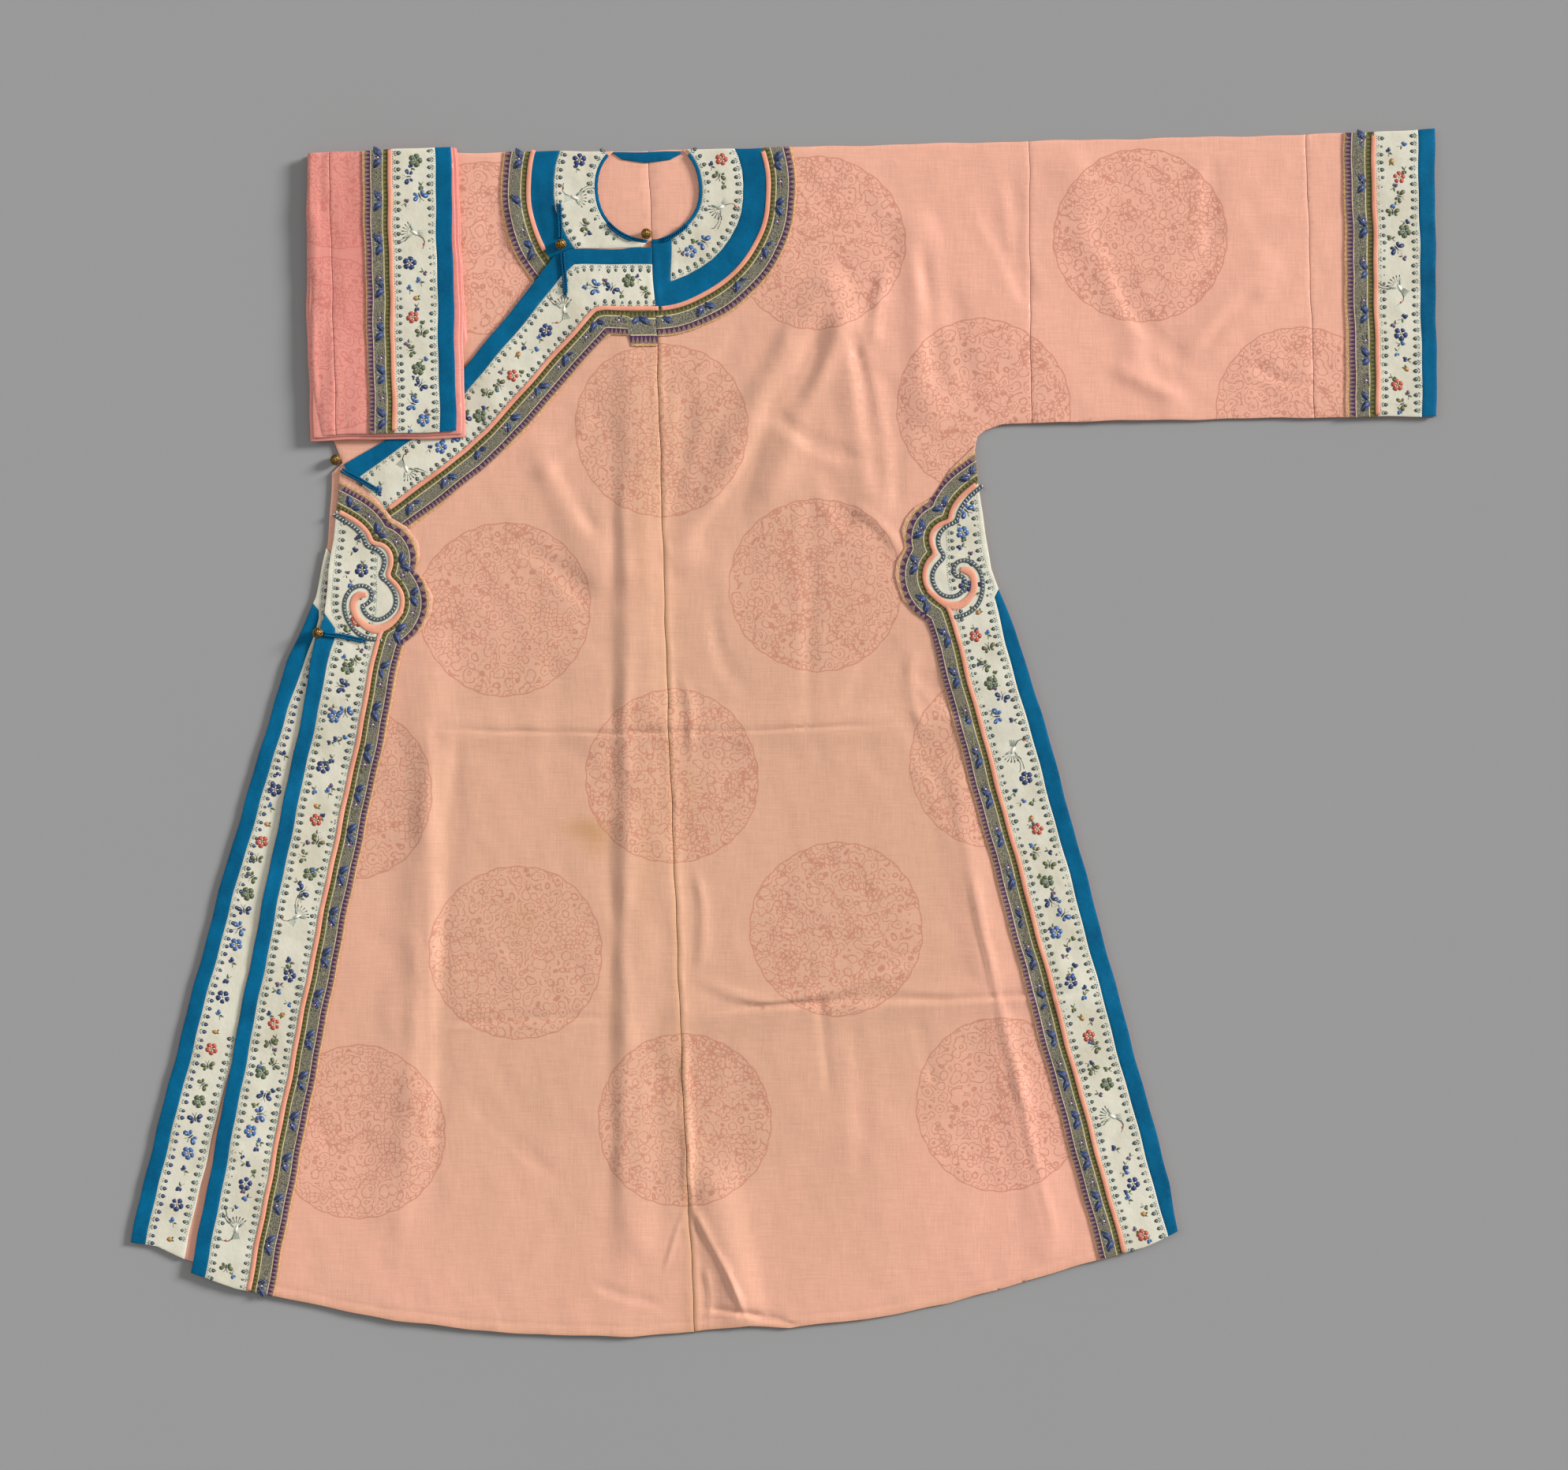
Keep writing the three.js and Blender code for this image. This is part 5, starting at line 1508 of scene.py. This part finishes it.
# Embroidered bands: blue or binding side, piping side, first motif, cranes as shares of the length
CREAM_BANDS = {
    "collar_right": (circle(BINDING_OUT, 136, 238), circle(COLLAR_CREAM_OUT, 157, 219), 0, [0.5]),
    "collar_left": (circle(BINDING_OUT, 43, -64), circle(COLLAR_CREAM_OUT, 23, -75), 3, [0.45]),
    "lapel": (LAPEL_BLUE, LAPEL_TAPE, 1, [0.27, 0.88]),
    "overlap_side": ([(-411, 204), (-416, 150), (-420, 116), (-413, 98), (-413, 88), (-417, 76)]
                     + beside(OVERLAP_EDGE, 14.5, 60),
                     [(-374, 196), (-374, 150), (-376, 106)] + beside(OVERLAP_EDGE, 54.5, 60),
                     2, [0.52, 0.93]),
    "left_side": ([(179, 222), (184, 175), (190, 150), (198, 133), (193, 125), (203, 82)]
                  + beside(LEFT_EDGE, -16, 70),
                  [(150, 222), (150, 175), (152, 130)] + beside(LEFT_EDGE, -57.5, 80),
                  4, [0.33, 0.83]),
    "left_cuff": (vertical(586, 591, 553, 296), vertical(547, 552, 553, 296), 5, [0.55]),
    "right_cuff": (vertical(-322, -317, 537, 281), vertical(-362, -357, 537, 281), 6, [0.3]),
}
UNDERLAP_NEAR = ([(-421, 165), (-431, 128), (-428, 107), (-432, 93), (-442, 62)]
                 + beside(UNDERLAP_EDGE, 14.5, 60))
UNDERLAP_FAR = beside(UNDERLAP_EDGE, 52, -250)

CYCLE = [
    flower("navy"), butterfly("green", "gold", 1.15), bud("navy", 1.5), flower("red", size=0.9),
    butterfly("blue", "white", 1.4), bud("blue", 1.5), flower("green", "pale"), bud("navy", 1.6),
    butterfly("green", "red", 1.2), flower("blue", "white", 0.95), peach(1.2), butterfly("navy", "pale", 1.3),
]
MOTIF_PITCH = 16.0
CRANE_CLEAR = 24
LAST_STEP = 119


def sprig_rows(path, inwards, surface, seed, loops, bud_colour="slate"):
    """One edge of an embroidered band: sprigs that point into the band, and a line of pale stitches."""
    path = cut_at_panel(smooth_path(path, PATH_STEP, 1), loops, 2.5)
    if inwards < 0:
        path = path[::-1]
    line = on_surface(path + path_normals(path) * 0.9, surface, BAND_TOP)
    meshes = [stitched_row(line, edge_stitch, 2.3, 0.5, 0.9, 0.15, 0.25, seed, FLOSS["sage"])]
    for shape, colour in ((sprig_bud, bud_colour), (sprig_core, "sage"), (sprig_leaves, "teal")):
        meshes.append(stitched_row(line, shape, SPRIG_PITCH, 2.5, 1.0, 0.1, 0.12, seed, FLOSS[colour]))
    return meshes


def turns_left(first, second):
    """1 where the second path lies to the left of the first."""
    middle = len(first) // 2
    return 1 if np.dot(path_normals(first)[middle], second[middle] - first[middle]) > 0 else -1


for seed, (name, (near, far, first, cranes)) in enumerate(CREAM_BANDS.items()):
    surface, loops = SURFACES[name], node_loops(name + "_cream", TRIM_LAYER)
    near, far = (cut_at_panel(smooth_path(path, PATH_STEP, 1), loops, -3.0) for path in (near, far))
    first_side, second_side = even(near, LAST_STEP + 1), even(far, LAST_STEP + 1)
    side = turns_left(first_side, second_side)
    around = [moved_in(loop, -3.0) for loop in loops]
    ROWS["sprigs_" + name] = (sprig_rows(near, side, surface, 10 * seed, around)
                              + sprig_rows(far, -side, surface, 10 * seed + 5, around))
    middle = (first_side + second_side) / 2
    length = lengths_along(middle)[-1]
    parts = []
    crane_places = [share * length for share in cranes]
    for count, along in enumerate(np.arange(9, length - 6, MOTIF_PITCH)):
        if min(abs(along - place) for place in crane_places) < CRANE_CLEAR:
            continue
        swing = math.sin(2.4 * count + seed)
        small = bud(["navy", "green", "purple", "blue"][count % 4], 1.35)
        for motif, start, across, turn in [
            (CYCLE[(first + count * 5) % len(CYCLE)], along, 0.5 + 0.13 * swing, 1.9 * count + seed),
            (small, along + MOTIF_PITCH / 2, 0.5 - 0.2 * swing, 2.7 * count),
        ]:
            index = min(LAST_STEP, int(start / length * LAST_STEP))
            place = first_side[index] * (1 - across) + second_side[index] * across
            place_motif(motif, place, turn, parts)
    for place in crane_places:
        index = int(place / length * LAST_STEP)
        place_motif(crane(), middle[index], 0.4 * index, parts)
    add_embroidery("embroidery_" + name, parts, surface)

around = [moved_in(loop, -3.0) for loop in node_loops("underlap_side_cream", TRIM_LAYER)]
ROWS["sprigs_underlap"] = (sprig_rows(UNDERLAP_NEAR, 1, underlap_front, 90, around, "navy")
                           + sprig_rows(UNDERLAP_FAR, -1, underlap_front, 95, around))
parts = []
for count, y in enumerate(np.arange(-20, -470, -MOTIF_PITCH)):
    x = edge_x(UNDERLAP_EDGE, y)
    reach = np.interp(y, [-470, -20], [36, 24])
    place_motif(CYCLE[(count * 5 + 2) % len(CYCLE)], (x + reach, y), 2.1 * count, parts)
add_embroidery("embroidery_underlap", parts, underlap_front)


# Motifs of the ribbon, and the gimp

RIBBON_MIDDLE = 11.0
BUTTERFLY_PITCH = 37.0
RIBBON_SEED = 7


def ribbon_rows(path, side, surface, loops):
    """Butterflies and small flowers in turn along the middle of a ribbon."""
    path = path if side > 0 else path[::-1]
    line = path + path_normals(path) * RIBBON_MIDDLE
    line = cut_at_panel(smooth_path(line, PATH_STEP, 1), loops, 6.0)
    line = on_surface(line, surface, BAND_TOP)
    rows = []
    for shape, start, colour in [
        (leaf_pair, 8, "navy"), (leaf_veins, 8, "pale"), (small_petals, 26.5, "purple"),
        (small_heart, 26.5, "white"), (small_leaves, 26.5, "green"),
    ]:
        rows.append(stitched_row(line, shape, BUTTERFLY_PITCH, start, 0.95, 0.04, 0.08, RIBBON_SEED,
                                 FLOSS[colour]))
    return rows


lapel_ribbon_run = lapel_tape[lapel_tape[:, 0] > -350]
for name, path, side, loops in [
    ("collar_left", left_ring, -1, panel_loops["left"]),
    ("collar_right", right_ring, -1, panel_loops["underlap"]),
    ("lapel", lapel_ribbon_run, 1, panel_loops["overlap"]),
    ("overlap_side", overlap_tape, 1, panel_loops["overlap"]),
    ("left_side", left_tape, -1, panel_loops["left"]),
    ("left_cuff", stretched_tape, 1, node_loops("left_sleeve_end", UPPER_LAYER)),
    ("right_cuff", folded_tape, 1, node_loops("right_sleeve_end", UPPER_LAYER)),
]:
    ROWS["ribbon_motifs_" + name] = ribbon_rows(smooth_path(path, PATH_STEP, 1), side, SURFACES[name], loops)

# Gimp: inside the piping, round the curl's knob and back along its outer side
OVERLAP_GIMP = OVERLAP_HEAD["gimp"] + [
    (-388, 118), (-382, 122), (-380, 130), (-385, 136), (-394, 137), (-403, 131), (-407, 120), (-404, 106),
    (-396, 94), (-385, 88), (-372, 86)]
LEFT_GIMP = LEFT_HEAD["gimp"] + [
    (166, 146), (160, 145), (157, 152), (160, 159), (168, 161), (177, 157), (184, 147), (185, 132),
    (179, 118), (168, 110), (156, 107)]
for name, points, surface in [("overlap_side_gimp", OVERLAP_GIMP, overlap_front),
                              ("left_side_gimp", LEFT_GIMP, left_front)]:
    path = smooth_path(points, 1.5)
    base = raised_strip(path, GIMP_WIDTH, GIMP_HEIGHT, surface, TAPE_LIFT)
    add_piece("trim_" + name, *base, FLOSS["slate"])
    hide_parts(name)
    line = on_surface(path, surface, TAPE_LIFT + 0.5)
    ROWS["beads_" + name] = [
        stitched_row(line, bead, 3.2, 0.4, 0.9, 0.1, 0.2, 1, FLOSS["white"]),
        stitched_row(line, cross_stitch, 3.2, 2.0, 0.9, 0.1, 0.2, 2, FLOSS["navy"]),
    ]


# Cords and buttons

# A cord's strands: radius, and length of a full turn; and how far apart the doubled cord's middles are
STRAND = 0.68
CORD_TURN = 4.6
CORD_APART = 2.5
FRAY_ENDS = 7
FRAY_REACH = 6.0


def twisted_cord(path, surface):
    """Two strands laid round each other along a path on a band."""
    path = on_surface(path, surface, BAND_TOP + 2 * STRAND)
    lengths = lengths_along(path)
    way = np.gradient(path, axis=0)
    way /= np.linalg.norm(way, axis=1)[:, None]
    side = np.cross(way, (0, 0, 1))
    side /= np.linalg.norm(side, axis=1)[:, None]
    up = np.cross(side, way)
    strands = []
    for phase in (0, math.pi):
        turn = (lengths / CORD_TURN * 2 * math.pi + phase)[:, None]
        strand = path + (side * np.cos(turn) + up * np.sin(turn)) * STRAND * 0.9
        strands.append(tube(strand, STRAND * 1.05))
    return strands


def frayed(place, turn, surface):
    """Loose ends of a cord, fanned out."""
    ends = []
    for k in range(FRAY_ENDS):
        way = turn + (k - (FRAY_ENDS - 1) / 2) * 0.28
        bend = way + 0.5 * math.sin(2.1 * k)
        half = FRAY_REACH * (0.7 + 0.3 * math.sin(1.7 * k + 1)) * 0.5
        middle = place + half * np.array((math.cos(way), math.sin(way)))
        end = middle + half * np.array((math.cos(bend), math.sin(bend)))
        run = smooth_path([place, middle, end], 1.0)
        ends.append(tube(on_surface(run, surface, BAND_TOP + 0.3 + 0.1 * (k % 3)), 0.28, 4))
    return ends


CORDS = [
    ("cord_collar_corner_upper", [(-208, 489), (-207, 474), (-206.3, 458)], underlap_front, None),
    ("cord_collar_corner_lower", [(-204, 444), (-202.5, 425), (-202, 407)], overlap_front, -math.pi / 2),
    ("cord_underarm", [(-408, 243), (-392, 234), (-377, 225)], overlap_front, -0.6),
    ("cord_slit", [(-425, 92), (-405, 89.5), (-389, 86)], overlap_front, -0.2),
    ("cord_neck_right", circle(NECK_RADIUS + 2.2, 221, 252, 2.0), underlap_front, None),
    ("cord_neck_left", circle(NECK_RADIUS + 2.2, 316, 286, 2.0), left_front, None),
]
for name, path, surface, fray in CORDS:
    line = smooth_path(path, 0.9)
    parts = []
    for offset in (-CORD_APART / 2, CORD_APART / 2):
        parts += twisted_cord(line + path_normals(line) * offset, surface)
    if fray is not None:
        parts += frayed(line[-1], fray, surface)
    add_piece("sewn_" + name, *joined(parts), cord_look)
    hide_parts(name)


def ring_wire(middle, axis, radius, offset, wire=0.42, steps=28):
    """A wire hoop about an axis of a ball, in millimetres."""
    axis = np.array(axis, float) / np.linalg.norm(axis)
    helper = np.array((0, 0, 1.0)) if abs(axis[2]) < 0.9 else np.array((1.0, 0, 0))
    first = np.cross(axis, helper)
    first /= np.linalg.norm(first)
    second = np.cross(axis, first)
    points, faces = [], []
    for i in range(steps):
        turn = 2 * math.pi * i / steps
        out = first * math.cos(turn) + second * math.sin(turn)
        for k in range(5):
            tilt = 2 * math.pi * k / 5
            up = axis * (offset + wire * math.sin(tilt))
            points.append(middle + up + out * (radius + wire * math.cos(tilt)))
            following = ((i + 1) % steps) * 5
            faces.append((i * 5 + k, following + k, following + (k + 1) % 5, i * 5 + (k + 1) % 5))
    return np.array(points), faces


def ball(middle, radius, rings=10, around=16):
    points = [middle + np.array((0, 0, radius))]
    for i in range(1, rings):
        tilt = math.pi * i / rings
        for k in range(around):
            turn = 2 * math.pi * k / around
            points.append(middle + radius * np.array((math.sin(tilt) * math.cos(turn),
                                                      math.sin(tilt) * math.sin(turn), math.cos(tilt))))
    points.append(middle - np.array((0, 0, radius)))
    faces = [(0, 1 + k, 1 + (k + 1) % around) for k in range(around)]
    for i in range(rings - 2):
        for k in range(around):
            a, b = 1 + i * around + k, 1 + i * around + (k + 1) % around
            faces.append((a, a + around, b + around, b))
    last = len(points) - 1
    base = 1 + (rings - 2) * around
    faces += [(base + (k + 1) % around, base + k, last) for k in range(around)]
    return np.array(points), faces


# Filigree ball buttons: a core, wire hoops crossing over it, and beads on them
for name, middle in BUTTONS:
    middle = np.array(middle, float)
    parts = [ball(middle, BUTTON_RADIUS - 0.9)]
    third = BUTTON_RADIUS * 0.52
    hoop = BUTTON_RADIUS - 0.45
    for axis in [(1, 0, 0), (0, 1, 0), (1, 1, 0), (1, -1, 0), (0, 0, 1)]:
        parts.append(ring_wire(middle, axis, hoop, 0))
    for offset in (-third, third):
        parts.append(ring_wire(middle, (0, 0, 1), math.sqrt(hoop ** 2 - offset ** 2), offset))
    for tilt, count, shift in ((0.0, 1, 0), (0.5, 6, 0.2), (1.0, 8, 0.0), (1.57, 8, 0.4), (2.1, 8, 0.0)):
        for k in range(count):
            turn = 2 * math.pi * k / count + shift
            out = np.array((math.sin(tilt) * math.cos(turn), math.sin(tilt) * math.sin(turn), math.cos(tilt)))
            parts.append(ball(middle + out * (BUTTON_RADIUS - 0.75), 0.75, 4, 6))
    add_piece("gilt_" + name, *joined(parts), gilt_look)
    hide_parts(name)

make_rows()
for shape in shapes:
    bpy.data.objects.remove(shape)


# Camera, light and floor

def add_sun(name, towards, power, softness):
    """A broad, even studio light that shines from a direction."""
    light = bpy.data.lights.new(name, "SUN")
    light.energy = power
    light.angle = math.radians(softness)
    lamp = add_object(name, light)
    lamp.location = towards
    lamp.rotation_euler = Vector(towards).to_track_quat("Z", "Y").to_euler()


add_sun("key_from_right", towards=(2.6, 1.1, 1.2), power=4.1, softness=16)
add_sun("fill_from_left", towards=(-2.4, 0.9, 2.0), power=0.50, softness=40)

world = bpy.data.worlds.new("studio")
bpy.context.scene.world = world
world.use_nodes = True
world.node_tree.nodes["Background"].inputs[0].default_value = (1, 1, 1, 1)
world.node_tree.nodes["Background"].inputs[1].default_value = SURROUNDINGS

floor_look, floor_tree, floor_shader = look("studio floor", (153, 153, 153), 0.9, specular=0.1)
floor_grain = noise(floor_tree, here(floor_tree), 3, 2)
floor_tree.links.new(blend(floor_tree, floor_grain, (152, 152, 152), (154, 154, 154)),
                     floor_shader.inputs["Base Color"])
floor_mesh = bpy.data.meshes.new("floor")
corners = [(x * FLOOR, y * FLOOR, FLOOR_LEVEL) for x, y in ((-1, -1), (1, -1), (1, 1), (-1, 1))]
floor_mesh.from_pydata(corners, [], [(0, 1, 2, 3)])
floor_mesh.materials.append(floor_look)
floor = add_object("floor", floor_mesh)

camera_data = bpy.data.cameras.new("camera")
camera_data.sensor_width = SENSOR
camera_data.lens = SENSOR * CAMERA_HEIGHT / PHOTO_WIDTH
camera_data.clip_end = 20
camera = add_object("camera", camera_data)
camera.location = ((PHOTO_MIDDLE[0] + SHIFT[0]) * MM, (PHOTO_MIDDLE[1] + SHIFT[1]) * MM, CAMERA_HEIGHT * MM)
bpy.context.scene.camera = camera
bpy.context.scene.view_settings.view_transform = "Standard"


def cut_area(*sides):
    """Square metres of cloth in the outlines of a piece's sides."""
    return sum(abs(sum(signed_area(loop) for loop in loops)) for loops in sides) * MM ** 2


left_back, right_back = node_loops("left_half"), node_loops("right_half_with_underlap")
cut_area(node_loops("left_sleeve_middle", 2.0), node_loops("left_sleeve_middle"))
cut_area(node_loops("left_sleeve_end", 2.0), node_loops("left_sleeve_end"))
cut_area(node_loops("right_sleeve_middle", 2.0))
cut_area(node_loops("right_sleeve_end", 2.0))
